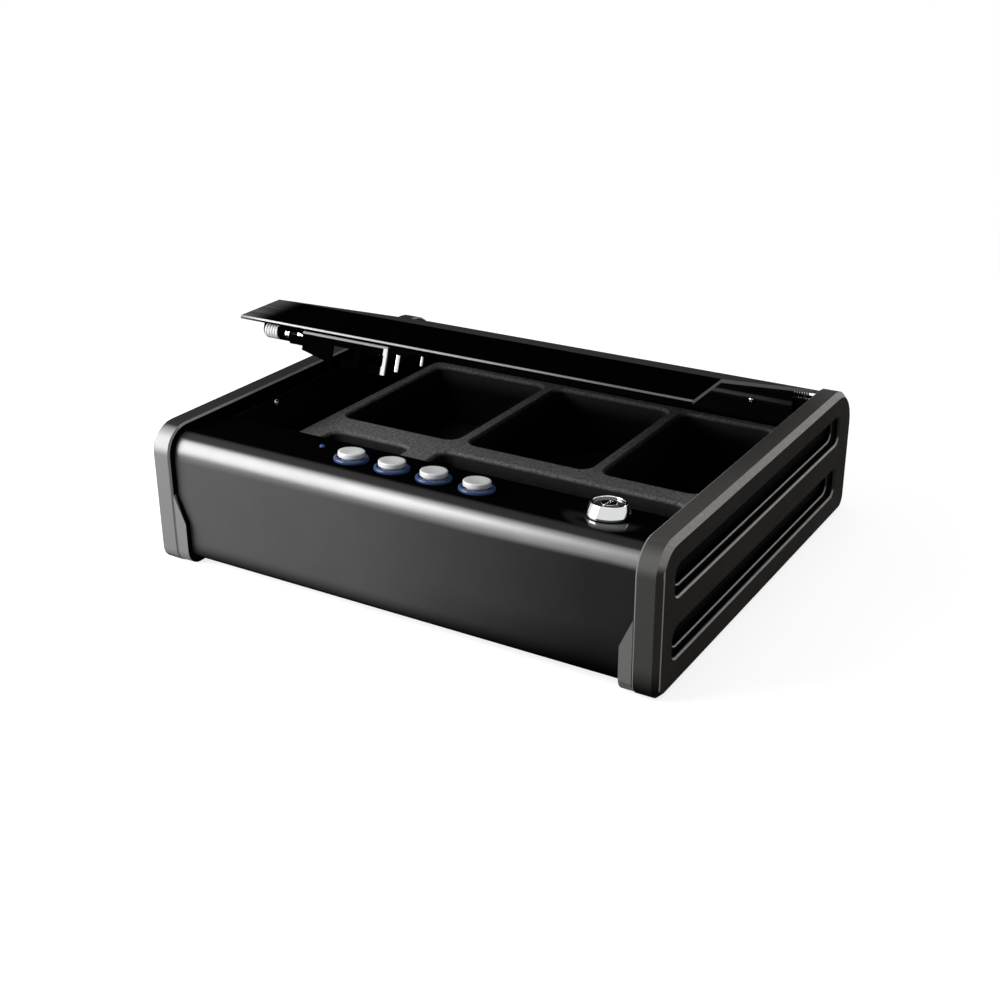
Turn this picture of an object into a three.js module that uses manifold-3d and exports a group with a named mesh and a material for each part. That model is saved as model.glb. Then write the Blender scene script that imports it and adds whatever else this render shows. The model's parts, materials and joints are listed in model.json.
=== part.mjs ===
// A portable car safe: a low steel case between two moulded end caps, with a keypad deck
// and a key lock at the front, a hinged lid with a bevelled front, and a felt-lined tray.
// Millimetres, X to the right, Y to the back, Z up, origin under the middle of the case.
// The lid stands part open and the latch bar is drawn back, so the lid can pass it.

import * as THREE from 'three';
import { mergeVertices } from 'three/addons/utils/BufferGeometryUtils.js';
import Module from 'manifold-3d';

const wasm = await Module();
wasm.setup();

// The whole safe
const WIDTH = 307;
const DEPTH = 264;
const HEIGHT = 80;
const SHEET = 2;
const SEAT = 0.3;
const OVERRUN = 1;
const OPEN_ANGLE = THREE.MathUtils.degToRad(19.3);

// End caps
const CAP_WIDTH = 13.5;
const CAP_PROUD = 4.4;
const CAP_FRONT_RADIUS = 16;
const CAP_BACK_RADIUS = 25;
const CAP_FOOT_RADIUS = 9;
const CAP_OUTER_BEVEL = 2.9;
const CAP_INNER_BEVEL = 1;
const FOOT_HEIGHT = 5;
const TAB_WIDTH = 7.1;
const TAB_HEIGHT = 26;
const TAB_SLOPE = 16;
const TAB_SETBACK = 0.7;
const TAB_FOOT_DEPTH = 18;
const GROOVE_HEIGHT = 18.8;
const GROOVE_LIFT = 15;
const GROOVE_TOP_DROP = 13.2;
const GROOVE_FRONT_MARGIN = 15;
const GROOVE_BACK_MARGIN = 20.5;
const GROOVE_DEPTH = 2.4;
const GROOVE_RADIUS = 6;
const GROOVE_CHAMFER = 1.2;
const STEP_MARGIN = 4.2;
const STEP_BACK_MARGIN = 7.5;
const STEP_DEPTH = 3;
const STEP_CHAMFER = 0.8;

// Case sheets
const DECK_DEPTH = 49.3;
const DECK_DROP = 3.6;
const DECK_FALL = 4.6;
const FRONT_BEND = 11.5;
const SMALL_BEND = 2.5;
const FRONT_FLANGE = 7;
const BACK_WALL_DROP = 14;
const SIDE_WALL = 1.5;
const SIDE_WALL_GAP = 0.5;
const SIDE_WALL_INSET = 0.5;
const WALL_CHAMFER = 2;

// Lid
const LID_DROP = 6.3;
const LID_SIDE_GAP = 3;
const LID_FRONT_GAP = 1.3;
const LID_BACK_GAP = 2.8;
const LID_BEVEL_RUN = 32;
const LID_BEVEL_DROP = 11.6;

// Hinge
const HINGE_END_GAP = 5;
const KNUCKLES = 12;
const KNUCKLE_RADIUS = 2.5;
const KNUCKLE_BORE = 1.35;
const HINGE_PIN_RADIUS = 1.05;
const LEAF = 1.2;
const BODY_LEAF_HEIGHT = 17;
const LID_LEAF_DEPTH = 19;
const PIN_OVERHANG = 12;
const CLAMP_BAR_HEIGHT = 7;
const CLAMP_BAR = 2.4;
const CLAMP_BAR_DROP = 7.9;
const hingeScrewShares = [-0.7875, 0, 0.7875];
const SPRING_WIRE = 0.4;
const SPRING_TURNS = 5;
const SPRING_PITCH = 1.5;
const SPRING_LEG = 11;
const CURL_STEPS = 8;
const POINTS_PER_CURL = 32;

// Small round-head screws and their holes
const SCREW_HEAD = 1.9;
const SCREW_SHANK = 1.1;
const SCREW_HOLE = 1.4;
const SCREW_DEPTH = 6;
const WALL_SCREW_DROP = 2.8;
const WALL_SCREW_FRONT_GAP = 36.3;
const WALL_SCREW_BACK_GAP = 65.6;

// Keypad
const BUTTON_PITCH = 25.6;
const BUTTON_Y = -0.8;
const BUTTON_X = 0.4;
const BUTTON_RADIUS = 7.2;
const BUTTON_TOP = 5.4;
const BUTTON_TRAVEL = 1.5;
const BUTTON_SKIRT = 2.7;
const BUTTON_DISH = 0.5;
const STEM_RADIUS = 5.3;
const RING_RADIUS = 9.5;
const RING_HEIGHT = 2.4;
const RING_FLOOR = 0.5;
const RING_NECK = 6.2;
const PLAY = 0.4;
const LED_GAP = 13.6;
const LED_Y = 9;
const LED_RADIUS = 1.5;
const LED_PROUD = 0.8;
const MAT_DEPTH = 22;
const MAT = 1;
const DOME_RADIUS = 5;
const DOME_RISE = 1.2;
const BOARD = 1.6;
const BOARD_MARGIN = 5.6;
const BOARD_END = 27.2;
const BOARD_DEPTH = 28;
const BOARD_DROP = 9.3;
const POST_RADIUS = 2.5;
const POST_INSET = 3.2;
const RAIL = 2;
const RAIL_HEIGHT = 2.5;
const CHIP = 12;
const CHIP_HEIGHT = 2;
const BUZZER_RADIUS = 6;
const BUZZER_HEIGHT = 5;

// Key lock
const LOCK_EDGE = 31.7;
const LOCK_Y = 7;
const BEZEL_BASE = 11.45;
const BEZEL_TOP = 9.1;
const BEZEL_BORE = 8;
const BEZEL_HEIGHT = 7.2;
const BEZEL_EDGE = 1.3;
const BARREL_RADIUS = 9;
const BARREL_LENGTH = 19;
const FACE_SINK = 1.2;
const PLUG_RADIUS = 4.1;
const PLUG_PROUD = 0.5;
const PLUG_NECK = 2.9;
const KEYWAY_WIDTH = 1.4;
const KEYWAY_LENGTH = 6;
const KEYWAY_DEPTH = 4;
const NUT_RADIUS = 12.5;
const NUT_HEIGHT = 5;
const CAM = 2;
const CAM_GAP = 3;
const CAM_ARM = 7;
const CAM_END = 2.5;
const CAM_HUB = 3.4;
const CAM_TAB_GAP = 3.9;

// Latch
const LATCH_TRAVEL = 8;
const LATCH_BAR = 2;
const LATCH_BAR_HEIGHT = 12;
const LATCH_DROP = 21.7;
const LATCH_WALL_GAP = 0.5;
const FINGER_MARGIN = 8;
const FINGER_WIDTH = 5;
const FINGER_HEIGHT = 4;
const FINGER_REACH = 10.5;
const FINGER_INSET = 24;
const FINGER_SPACING = 18.5;
const FINGER_PLAY = 1;
const guideShares = [0.17, 0.63];
const GUIDE = 1.5;
const SOLENOID_SETBACK = 90;
const SOLENOID_LENGTH = 32;
const SOLENOID_SIZE = 22;
const SOLENOID_BACK_GAP = 13.2;
const SOLENOID_LIFT = 6.7;
const SOLENOID_YOKE = 1.5;
const PLUNGER_RADIUS = 4;
const PLUNGER_NECK = 2.5;
const PLUNGER_OUT = 16;
const PLUNGER_IN = 20;
const PLUNGER_HEAD = 2.4;
const DRAW_ARM_WIDTH = 7;
const RETURN_WIRE = 0.5;
const RETURN_TURNS = 6;

// Strike under the lid
const STRIKE_SETBACK = 1.6;
const STRIKE_DROP = 17.5;
const STRIKE_INSET = 25.4;
const STRIKE_HEAD = 17.6;
const STRIKE_WIDTH = 56;
const STRIKE_TOP_DEPTH = 15;
const STRIKE_RETURN = 6;
const STRIKE_SLOPE_RUN = 24;
const STRIKE_SLOPE_RISE = 5.2;
const STRIKE_NOSE = 8.4;
const STRIKE_NOSE_HEIGHT = 5.6;
const STRIKE_CORNER = 2.6;
const WEB_REACH = 17;
const WEB_DROP = 9.8;
const WEB_CORNER = 5;
const EAR = 1.6;
const EAR_RADIUS = 4.2;
const AXLE_RADIUS = 1.5;
const AXLE_DROP = 5.2;
const AXLE_SETBACK = 6.5;
const SLEEVE_RADIUS = 4.4;
const SLEEVE_GAP = 0.4;
const SLEEVE_WIDTH = 9;
const SLEEVE_RIBS = 5;
const COLLAR_RADIUS = 2.6;
const COLLAR_OFFSET = 3.6;
const COLLAR_WIDTH = 2.8;
const CLIP_GAP = 0.6;
const CLIP_WIDTH = 4.8;
const GUIDE_BLOCK_GAP = 2;
const GUIDE_BLOCK_WIDTH = 24;
const GUIDE_BLOCK_DEPTH = 7;
const GUIDE_BLOCK_DROP = 5.5;
const GUIDE_BLOCK_STEP = 1.6;
const GUIDE_PIN_RADII = [1.2, 0.75];
const guidePinShares = [0.13, 0.75];
const GUIDE_PIN_LENGTHS = [9.6, 5.4];

// Batteries
const CELL_RADIUS = 7.1;
const CELL_LENGTH = 50.2;
const CELL_GAP = 0.4;
const CELL_TIP = 2.4;
const CELL_TIP_HEIGHT = 1.2;
const BAY_SIDE_GAP = 24;
const BAY_BACK_GAP = 2.4;
const HOLDER_WALL = 1.6;
const DOOR_EAR = 11;
const DOOR_LAND = 1;

// Tray and mat
const MAT_SHEET = 1.5;
const TRAY_SIDE_GAP = 12.7;
const TRAY_BACK_GAP = 14.6;
const TRAY_FRONT_GAP = 14.3;
const TRAY_RIM_DROP = 28;
const TRAY_EDGE = 1.5;
const POCKET_FLOOR = 5.9;
const POCKET_RADIUS = 7;
const POCKET_DRAFT = 2.5;
const POCKET_LIP = 1.2;
const MAT_MARGIN = 1.2;

// The pockets, as shares of the tray: left, right, front and back
const pocketShares = [
  [0.032, 0.352, 0.331, 0.96],
  [0.384, 0.7, 0.331, 0.96],
  [0.732, 0.968, 0.331, 0.96],
  [0.072, 0.288, 0.034, 0.217],
  [0.364, 0.968, 0.034, 0.246],
];

// Places that follow from the sizes above
const capInner = WIDTH / 2 - CAP_WIDTH;
const grooveLow = GROOVE_LIFT;
const grooveHigh = HEIGHT - GROOVE_TOP_DROP - GROOVE_HEIGHT;
const sheetHalf = capInner - SEAT;
const frontSheet = -DEPTH / 2 + CAP_PROUD;
const backSheet = DEPTH / 2 - CAP_PROUD;
const deckBack = frontSheet + DECK_DEPTH;
const floorTop = FOOT_HEIGHT + SHEET;
const wallOuter = sheetHalf - SIDE_WALL_INSET;
const wallInner = wallOuter - SIDE_WALL;
const deckFrontZ = HEIGHT - DECK_DROP;
const deckBackZ = deckFrontZ - DECK_FALL;
const backWallTop = HEIGHT - BACK_WALL_DROP;
const lidTop = HEIGHT - LID_DROP;
const sideWallTop = lidTop - SHEET - SIDE_WALL_GAP;
const wallScrewZ = sideWallTop - WALL_SCREW_DROP;
const wallScrews = [deckBack + WALL_SCREW_FRONT_GAP, backSheet - WALL_SCREW_BACK_GAP];
const lidHalf = capInner - LID_SIDE_GAP;
const lidFront = deckBack + LID_FRONT_GAP;
const hingeHalf = lidHalf - HINGE_END_GAP - PIN_OVERHANG;
const hingeY = backSheet - SHEET - SEAT - KNUCKLE_RADIUS;
const hingeZ = lidTop - SHEET - SEAT - KNUCKLE_RADIUS;
const clampBarZ = hingeZ - CLAMP_BAR_DROP;
const bevelAngle = Math.atan2(LID_BEVEL_DROP, LID_BEVEL_RUN);
const clampBarFace = hingeY + KNUCKLE_RADIUS - LEAF - SEAT - CLAMP_BAR;
const strikeEnd = STRIKE_INSET - lidHalf;
const strikeLeft = strikeEnd + STRIKE_HEAD;
const strikeRight = strikeLeft + STRIKE_WIDTH;
const strikeFace = lidFront + STRIKE_SETBACK;
const strikeLow = lidTop - LID_BEVEL_DROP - STRIKE_DROP;
const sleeveEnd = strikeEnd - SLEEVE_GAP - SLEEVE_WIDTH;
const axleY = lidFront + AXLE_SETBACK;
const axleZ = lidTop - LID_BEVEL_DROP - AXLE_DROP;
const guideBlockLeft = strikeRight + GUIDE_BLOCK_GAP;
const fingers = [strikeLeft + FINGER_INSET, strikeLeft + FINGER_INSET + FINGER_SPACING];
const latchBack = deckBack - SHEET - LATCH_WALL_GAP;
const latchFront = latchBack - LATCH_BAR;
const latchZ = lidTop - LATCH_DROP;
const ledX = BUTTON_X - 2 * BUTTON_PITCH - LED_GAP;
const boardLeft = ledX - BOARD_MARGIN;
const boardRight = BUTTON_X + 1.5 * BUTTON_PITCH + BOARD_END;
const lockX = sheetHalf - LOCK_EDGE;
const solenoidLeft = lockX - SOLENOID_SETBACK;
const solenoidY = latchFront - SOLENOID_BACK_GAP - SOLENOID_SIZE / 2;
const solenoidZ = floorTop + SEAT + SOLENOID_LIFT + SOLENOID_SIZE / 2;

// The deck falls a little towards the lid, so what it carries is built in its own frame
const deckTilt = Math.atan2(DECK_FALL, DECK_DEPTH);
const deckMiddle = new THREE.Vector3(
  0,
  (frontSheet + deckBack) / 2,
  (deckFrontZ + deckBackZ) / 2,
);
const deckMatrix = new THREE.Matrix4().makeRotationX(-deckTilt).setPosition(deckMiddle);

// Finishes
const finish = (color, roughness, metalness) => ({ color, roughness, metalness });
const PAINTED_STEEL = finish(0x17171a, 0.32, 0.35);
const PAINTED_INNER = finish(0x141416, 0.45, 0.3);
const MOULDED = finish(0x35332f, 0.72, 0);
const ZINC = finish(0xb9bcc0, 0.32, 1);
const CHROME = finish(0xe4e6ea, 0.08, 1);
const DARK_FACE = finish(0x26272a, 0.3, 0.6);
const WHITE_CAP = finish(0xe6e7ea, 0.38, 0);
const BLUE_RING = finish(0x24408f, 0.2, 0);
const BLUE_LENS = finish(0x4f7dff, 0.15, 0);
const FELT = finish(0x2b2b2d, 0.95, 0);
const FOAM = finish(0x1b1b1c, 0.98, 0);
const SILICONE = finish(0x8e9094, 0.7, 0);
const BOARD_GREEN = finish(0x1d4a2a, 0.5, 0);
const NYLON = finish(0xa9abad, 0.55, 0);
const BLACK_NYLON = finish(0x1c1c1d, 0.55, 0);
const COPPER = finish(0x8a4b2a, 0.45, 0.6);
const CELL_WRAP = finish(0x3c3f44, 0.4, 0.2);
const SPRING_STEEL = finish(0x7d8186, 0.3, 1);

// Closed meshes: welding, orientation, cutting and joining

function signedVolume(geometry) {
  const corner = geometry.attributes.position;
  const index = geometry.index;
  const [a, b, c] = [new THREE.Vector3(), new THREE.Vector3(), new THREE.Vector3()];
  let sum = 0;
  for (let i = 0; i < index.count; i += 3) {
    a.fromBufferAttribute(corner, index.getX(i));
    b.fromBufferAttribute(corner, index.getX(i + 1));
    c.fromBufferAttribute(corner, index.getX(i + 2));
    sum += a.dot(b.cross(c));
  }
  return sum / 6;
}

function weld(geometry) {
  geometry.deleteAttribute('normal');
  geometry.deleteAttribute('uv');
  const welded = mergeVertices(geometry);
  if (signedVolume(welded) < 0) {
    const index = welded.index.array;
    for (let i = 0; i < index.length; i += 3) {
      [index[i], index[i + 1]] = [index[i + 1], index[i]];
    }
  }
  return welded;
}

function toSolid(geometry) {
  const plain = weld(geometry.clone());
  return new wasm.Manifold(new wasm.Mesh({
    numProp: 3,
    vertProperties: new Float32Array(plain.attributes.position.array),
    triVerts: new Uint32Array(plain.index.array),
  }));
}

function toGeometry(solid) {
  const mesh = solid.getMesh();
  const geometry = new THREE.BufferGeometry();
  geometry.setAttribute('position', new THREE.BufferAttribute(mesh.vertProperties, 3));
  geometry.setIndex(new THREE.BufferAttribute(mesh.triVerts, 1));
  return geometry;
}

function cut(geometry, ...tools) {
  const left = tools.reduce((solid, tool) => solid.subtract(toSolid(tool)), toSolid(geometry));
  return toGeometry(left);
}

function join(first, ...others) {
  const whole = others.reduce((solid, other) => solid.add(toSolid(other)), toSolid(first));
  return toGeometry(whole);
}

// Basic forms

// A box between two corners
function block(low, high) {
  const size = low.map((value, i) => high[i] - value);
  const box = new THREE.BoxGeometry(...size);
  return box.translate(...low.map((value, i) => (value + high[i]) / 2));
}

// A closed profile of [radius, height] pairs turned about Z
function turned(profile, sides = 32) {
  const points = profile.map(([radius, height]) => new THREE.Vector2(radius, height));
  const onAxis = profile[0][0] === 0 && profile.at(-1)[0] === 0;
  if (!onAxis) {
    points.push(points[0].clone());
  }
  return new THREE.LatheGeometry(points, sides).rotateX(Math.PI / 2);
}

// The same, turned about a line along X that starts at a point
function turnedAlongX(profile, start, sides = 24) {
  return turned(profile, sides).rotateY(Math.PI / 2).translate(...start);
}

function shapeOf(points) {
  return new THREE.Shape(points.map(([u, v]) => new THREE.Vector2(u, v)));
}

// An outline in Y and Z, drawn out along X from one place to another
function alongX(shape, from, to) {
  const settings = { depth: to - from, bevelEnabled: false, curveSegments: 8 };
  const geometry = new THREE.ExtrudeGeometry(shape, settings);
  const turn = new THREE.Matrix4().makeBasis(
    new THREE.Vector3(0, 1, 0),
    new THREE.Vector3(0, 0, 1),
    new THREE.Vector3(1, 0, 0),
  );
  return geometry.applyMatrix4(turn).translate(from, 0, 0);
}

// An outline in X and Z, drawn out along Y from one place to another
function alongY(shape, from, to) {
  const geometry = new THREE.ExtrudeGeometry(shape, { depth: to - from, bevelEnabled: false });
  return geometry.rotateX(Math.PI / 2).translate(0, to, 0);
}

// The corner points of a rectangle, anticlockwise from its low corner, with one radius or
// one for each corner; an inset draws all of it in
function roundedCorners(low, high, radii, inset = 0, steps = 5) {
  const corners = [[low[0], low[1]], [high[0], low[1]], [high[0], high[1]], [low[0], high[1]]];
  return corners.flatMap(([u, v], i) => {
    const radius = Array.isArray(radii) ? radii[i] : radii;
    const centreU = u + (u === low[0] ? radius : -radius);
    const centreV = v + (v === low[1] ? radius : -radius);
    return Array.from({ length: steps + 1 }, (_, k) => {
      const angle = Math.PI + (i + k / steps) * (Math.PI / 2);
      const reach = radius - inset;
      return [centreU + reach * Math.cos(angle), centreV + reach * Math.sin(angle)];
    });
  });
}

// A solid skinned over rings of equally many points, stacked along the third axis
function loft(rings, toPoint) {
  const count = rings[0].points.length;
  const corners = rings.flatMap(({ points, at }) => points.map(([u, v]) => toPoint(u, v, at)));
  const faces = [];
  for (let ring = 0; ring + 1 < rings.length; ring += 1) {
    for (let i = 0; i < count; i += 1) {
      const next = (i + 1) % count;
      const [a, b] = [ring * count + i, ring * count + next];
      faces.push(a, b, b + count, a, b + count, a + count);
    }
  }
  const flat = rings[0].points.map(([u, v]) => new THREE.Vector2(u, v));
  const last = (rings.length - 1) * count;
  for (const [a, b, c] of THREE.ShapeUtils.triangulateShape(flat, [])) {
    faces.push(c, b, a, last + a, last + b, last + c);
  }
  const geometry = new THREE.BufferGeometry();
  geometry.setAttribute('position', new THREE.Float32BufferAttribute(corners.flat(), 3));
  geometry.setIndex(faces);
  return geometry;
}

const stackX = (u, v, at) => [at, u, v];
const stackZ = (u, v, at) => [u, v, at];

// The outline of a sheet bent along a path of [y, z] points, with a middle radius per bend
function bentSheet(path, radii, thickness, steps = 6) {
  const points = path.map(([y, z]) => new THREE.Vector2(y, z));
  const way = [];
  const add = (point, heading) => way.push([point, new THREE.Vector2(-heading.y, heading.x)]);
  points.forEach((point, i) => {
    const before = i > 0 ? point.clone().sub(points[i - 1]).normalize() : null;
    const after = i + 1 < points.length ? points[i + 1].clone().sub(point).normalize() : null;
    if (!before || !after) {
      add(point, before ?? after);
      return;
    }
    const turn = Math.atan2(before.cross(after), before.dot(after));
    const radius = radii[i - 1];
    const start = point.clone().addScaledVector(before, -radius * Math.tan(Math.abs(turn) / 2));
    const side = new THREE.Vector2(-before.y, before.x).multiplyScalar(Math.sign(turn));
    const centre = start.clone().addScaledVector(side, radius);
    for (let k = 0; k <= steps; k += 1) {
      const angle = (turn * k) / steps;
      const spoke = start.clone().sub(centre).rotateAround(new THREE.Vector2(), angle);
      const heading = before.clone().rotateAround(new THREE.Vector2(), angle);
      add(centre.clone().add(spoke), heading);
    }
  });
  const offset = (sign) => way.map(([point, normal]) => (
    point.clone().addScaledVector(normal, (sign * thickness) / 2)
  ));
  return new THREE.Shape([...offset(-1), ...offset(1).reverse()]);
}

// A round wire along a curve, closed at both ends
function wire(curve, radius, steps, sides = 5) {
  const section = new THREE.Shape(Array.from({ length: sides }, (_, i) => {
    const angle = (2 * Math.PI * i) / sides;
    return new THREE.Vector2(radius * Math.cos(angle), radius * Math.sin(angle));
  }));
  return new THREE.ExtrudeGeometry(section, { steps, extrudePath: curve });
}

// A coil about X with two straight legs
class Coil extends THREE.Curve {
  constructor({ radius, pitch, turns, startLeg, endLeg, startAngle }) {
    super();
    Object.assign(this, { radius, pitch, turns, startLeg, endLeg, startAngle });
    this.round = 2 * Math.PI * radius * turns;
  }

  getPoint(t, target = new THREE.Vector3()) {
    const whole = this.startLeg + this.round + this.endLeg;
    const run = t * whole - this.startLeg;
    const inCoil = Math.min(Math.max(run, 0), this.round);
    const angle = this.startAngle + inCoil / this.radius;
    const beyond = run - inCoil;
    const heading = [-Math.sin(angle), Math.cos(angle)];
    return target.set(
      (this.pitch * inCoil) / (2 * Math.PI * this.radius),
      this.radius * Math.cos(angle) + beyond * heading[0],
      this.radius * Math.sin(angle) + beyond * heading[1],
    );
  }
}

// The least air between a coil's curls, measured on points along its wire
function leastGap(coil, wireRadius) {
  const curls = coil.round / (2 * Math.PI * coil.radius);
  const points = coil.getSpacedPoints(Math.round(curls * POINTS_PER_CURL));
  const spacing = coil.getLength() / (points.length - 1);
  const apart = Math.ceil((Math.PI * coil.radius) / spacing);
  let least = Infinity;
  points.forEach((point, i) => {
    points.slice(i + apart).forEach((other) => {
      least = Math.min(least, point.distanceTo(other));
    });
  });
  return least - 2 * wireRadius;
}

function tellGap(name, coil, wireRadius) {
  console.log(`${name}: least gap between curls ${leastGap(coil, wireRadius).toFixed(2)} mm`);
}

// Named meshes

const safe = new THREE.Group();
const deck = new THREE.Group();
deck.applyMatrix4(deckMatrix);
const lid = new THREE.Group();
lid.position.set(0, hingeY, hingeZ);
lid.rotation.x = -OPEN_ANGLE;
safe.add(deck, lid);

function piece(name, geometry, look, parent = safe) {
  const mesh = new THREE.Mesh(weld(geometry), new THREE.MeshStandardMaterial(look));
  mesh.name = name;
  parent.add(mesh);
  return mesh;
}

// What rides on the lid is drawn as if the lid were shut, then moved to the hinge's frame
function lidPiece(name, geometry, look) {
  return piece(name, geometry.translate(0, -hingeY, -hingeZ), look, lid);
}

// A round-head screw along Z, its head on top of z = 0
function screw(length = SCREW_DEPTH) {
  const crown = SCREW_HEAD / 2;
  return turned([
    [0, -length],
    [SCREW_SHANK, -length],
    [SCREW_SHANK, SEAT],
    [SCREW_HEAD, SEAT],
    [SCREW_HEAD * 0.85, crown],
    [0, crown + SEAT],
  ], 8);
}

// End caps

const capRadii = [CAP_FOOT_RADIUS, CAP_FOOT_RADIUS, CAP_BACK_RADIUS, CAP_FRONT_RADIUS];

function capOutline(inset) {
  return roundedCorners([-DEPTH / 2, 0], [DEPTH / 2, HEIGHT], capRadii, inset, 7);
}

// A recess in the outer face with a chamfered rim, and a deeper step in its floor. The two
// share their upper side.
function grooveTools(low) {
  const outer = WIDTH / 2;
  const floor = outer - GROOVE_DEPTH;
  const front = -DEPTH / 2 + GROOVE_FRONT_MARGIN;
  const back = DEPTH / 2 - GROOVE_BACK_MARGIN;
  const top = low + GROOVE_HEIGHT;
  const recess = (start, end, face, depth, chamfer) => {
    const at = (inset) => roundedCorners(start, end, GROOVE_RADIUS, inset, 4);
    return loft([
      { at: face - depth, points: at(chamfer) },
      { at: face - chamfer, points: at(chamfer) },
      { at: face, points: at(0) },
      { at: face + OVERRUN, points: at(0) },
    ], stackX);
  };
  const stepEnd = [back - STEP_BACK_MARGIN, top - GROOVE_CHAMFER + STEP_CHAMFER];
  return [
    recess([front, low], [back, top], outer, GROOVE_DEPTH, GROOVE_CHAMFER),
    recess([front + STEP_MARGIN, low + STEP_MARGIN], stepEnd, floor, STEP_DEPTH, STEP_CHAMFER),
  ];
}

// The foot tab covers the lower front corner of the case and runs a little way under it. Its
// front is set back, so that the cap's inner bevel shows above it and beside it.
function footTab() {
  const inner = capInner - TAB_WIDTH;
  const outline = shapeOf([
    [inner, 0],
    [capInner + OVERRUN, 0],
    [capInner + OVERRUN, TAB_HEIGHT + TAB_SLOPE],
    [capInner, TAB_HEIGHT + TAB_SLOPE],
    [inner, TAB_HEIGHT],
  ]);
  const front = -DEPTH / 2 + TAB_SETBACK;
  const profile = shapeOf(roundedCorners([front, 0], [DEPTH / 2, HEIGHT], capRadii, 0, 7));
  const face = alongY(outline, front, frontSheet - SEAT);
  const foot = block(
    [inner, frontSheet - SEAT - OVERRUN, 0],
    [capInner + OVERRUN, frontSheet + TAB_FOOT_DEPTH, FOOT_HEIGHT - SEAT],
  );
  const within = toSolid(alongX(profile, inner - OVERRUN, capInner + OVERRUN));
  return toGeometry(toSolid(face).add(toSolid(foot)).intersect(within));
}

function rightCap() {
  const body = loft([
    { at: capInner, points: capOutline(CAP_INNER_BEVEL) },
    { at: capInner + CAP_INNER_BEVEL, points: capOutline(0) },
    { at: WIDTH / 2 - CAP_OUTER_BEVEL, points: capOutline(0) },
    { at: WIDTH / 2, points: capOutline(CAP_OUTER_BEVEL) },
  ], stackX);
  const bores = wallScrews.map((y) => {
    const length = SCREW_DEPTH + OVERRUN;
    const profile = [[0, 0], [SCREW_HOLE, 0], [SCREW_HOLE, length], [0, length]];
    return turnedAlongX(profile, [capInner - OVERRUN, y, wallScrewZ], 8);
  });
  const grooved = cut(body, ...grooveTools(grooveLow), ...grooveTools(grooveHigh), ...bores);
  return join(grooved, footTab());
}

function addCaps() {
  const right = rightCap();
  piece('left_end_cap', right.clone().scale(-1, 1, 1), MOULDED);
  piece('right_end_cap', right, MOULDED);
}

// Case sheets

// Holes in the deck are drilled square to it
function deckHole(x, y, radius) {
  const deep = SHEET + SMALL_BEND;
  const profile = [[0, -deep], [radius, -deep], [radius, deep], [0, deep]];
  return turned(profile, 24).translate(x, y, 0).applyMatrix4(deckMatrix);
}

function buttonPlaces() {
  return [-1.5, -0.5, 0.5, 1.5].map((step) => BUTTON_X + step * BUTTON_PITCH);
}

function fingerSlots() {
  return fingers.map((x) => {
    const side = FINGER_WIDTH / 2 + FINGER_PLAY;
    const rise = FINGER_HEIGHT / 2 + FINGER_PLAY;
    return block(
      [x - side, deckBack - SHEET - OVERRUN, latchZ - rise],
      [x + side + LATCH_TRAVEL, deckBack + OVERRUN, latchZ + rise],
    );
  });
}

// One sheet makes the front, the big bend, the deck and the wall behind the deck
function frontShell() {
  const half = SHEET / 2;
  const path = [
    [frontSheet + FRONT_FLANGE, FOOT_HEIGHT + half],
    [frontSheet + half, FOOT_HEIGHT + half],
    [frontSheet + half, deckFrontZ - half],
    [deckBack - half, deckBackZ - half],
    [deckBack - half, floorTop + SEAT],
  ];
  const radii = [SMALL_BEND - half, FRONT_BEND - half, SMALL_BEND - half];
  const sheet = alongX(bentSheet(path, radii, SHEET, 8), -sheetHalf, sheetHalf);
  const notch = (side) => {
    const reach = [side * (wallInner - SEAT), side * (sheetHalf + OVERRUN)].sort((a, b) => a - b);
    const under = deckBackZ - SHEET - SMALL_BEND;
    return block(
      [reach[0], deckBack - SHEET - OVERRUN, floorTop],
      [reach[1], deckBack + OVERRUN, under],
    );
  };
  return cut(
    sheet,
    notch(-1),
    notch(1),
    ...buttonPlaces().map((x) => deckHole(x, BUTTON_Y, RING_NECK + SEAT)),
    deckHole(ledX, LED_Y, LED_RADIUS + SEAT),
    deckHole(lockX, LOCK_Y, BARREL_RADIUS + SEAT),
    ...fingerSlots(),
  );
}

function hingeScrewPlaces() {
  return hingeScrewShares.map((share) => share * hingeHalf);
}

// Holes through the back wall, the hinge leaf and the clamp bar
function hingeScrewHoles() {
  return hingeScrewPlaces().map((x) => {
    const from = clampBarFace - OVERRUN;
    const length = backSheet + OVERRUN - from;
    const hole = new THREE.CylinderGeometry(SCREW_HOLE, SCREW_HOLE, length, 8);
    return hole.translate(x, from + length / 2, clampBarZ);
  });
}

// One sheet makes the floor and the back wall
function basePan() {
  const half = SHEET / 2;
  const path = [
    [frontSheet + FRONT_FLANGE + SEAT, FOOT_HEIGHT + half],
    [backSheet - half, FOOT_HEIGHT + half],
    [backSheet - half, backWallTop],
  ];
  const sheet = alongX(bentSheet(path, [SMALL_BEND - half], SHEET), -sheetHalf, sheetHalf);
  return cut(sheet, doorOutline(0, FOOT_HEIGHT - OVERRUN, floorTop + OVERRUN), ...hingeScrewHoles());
}

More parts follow.
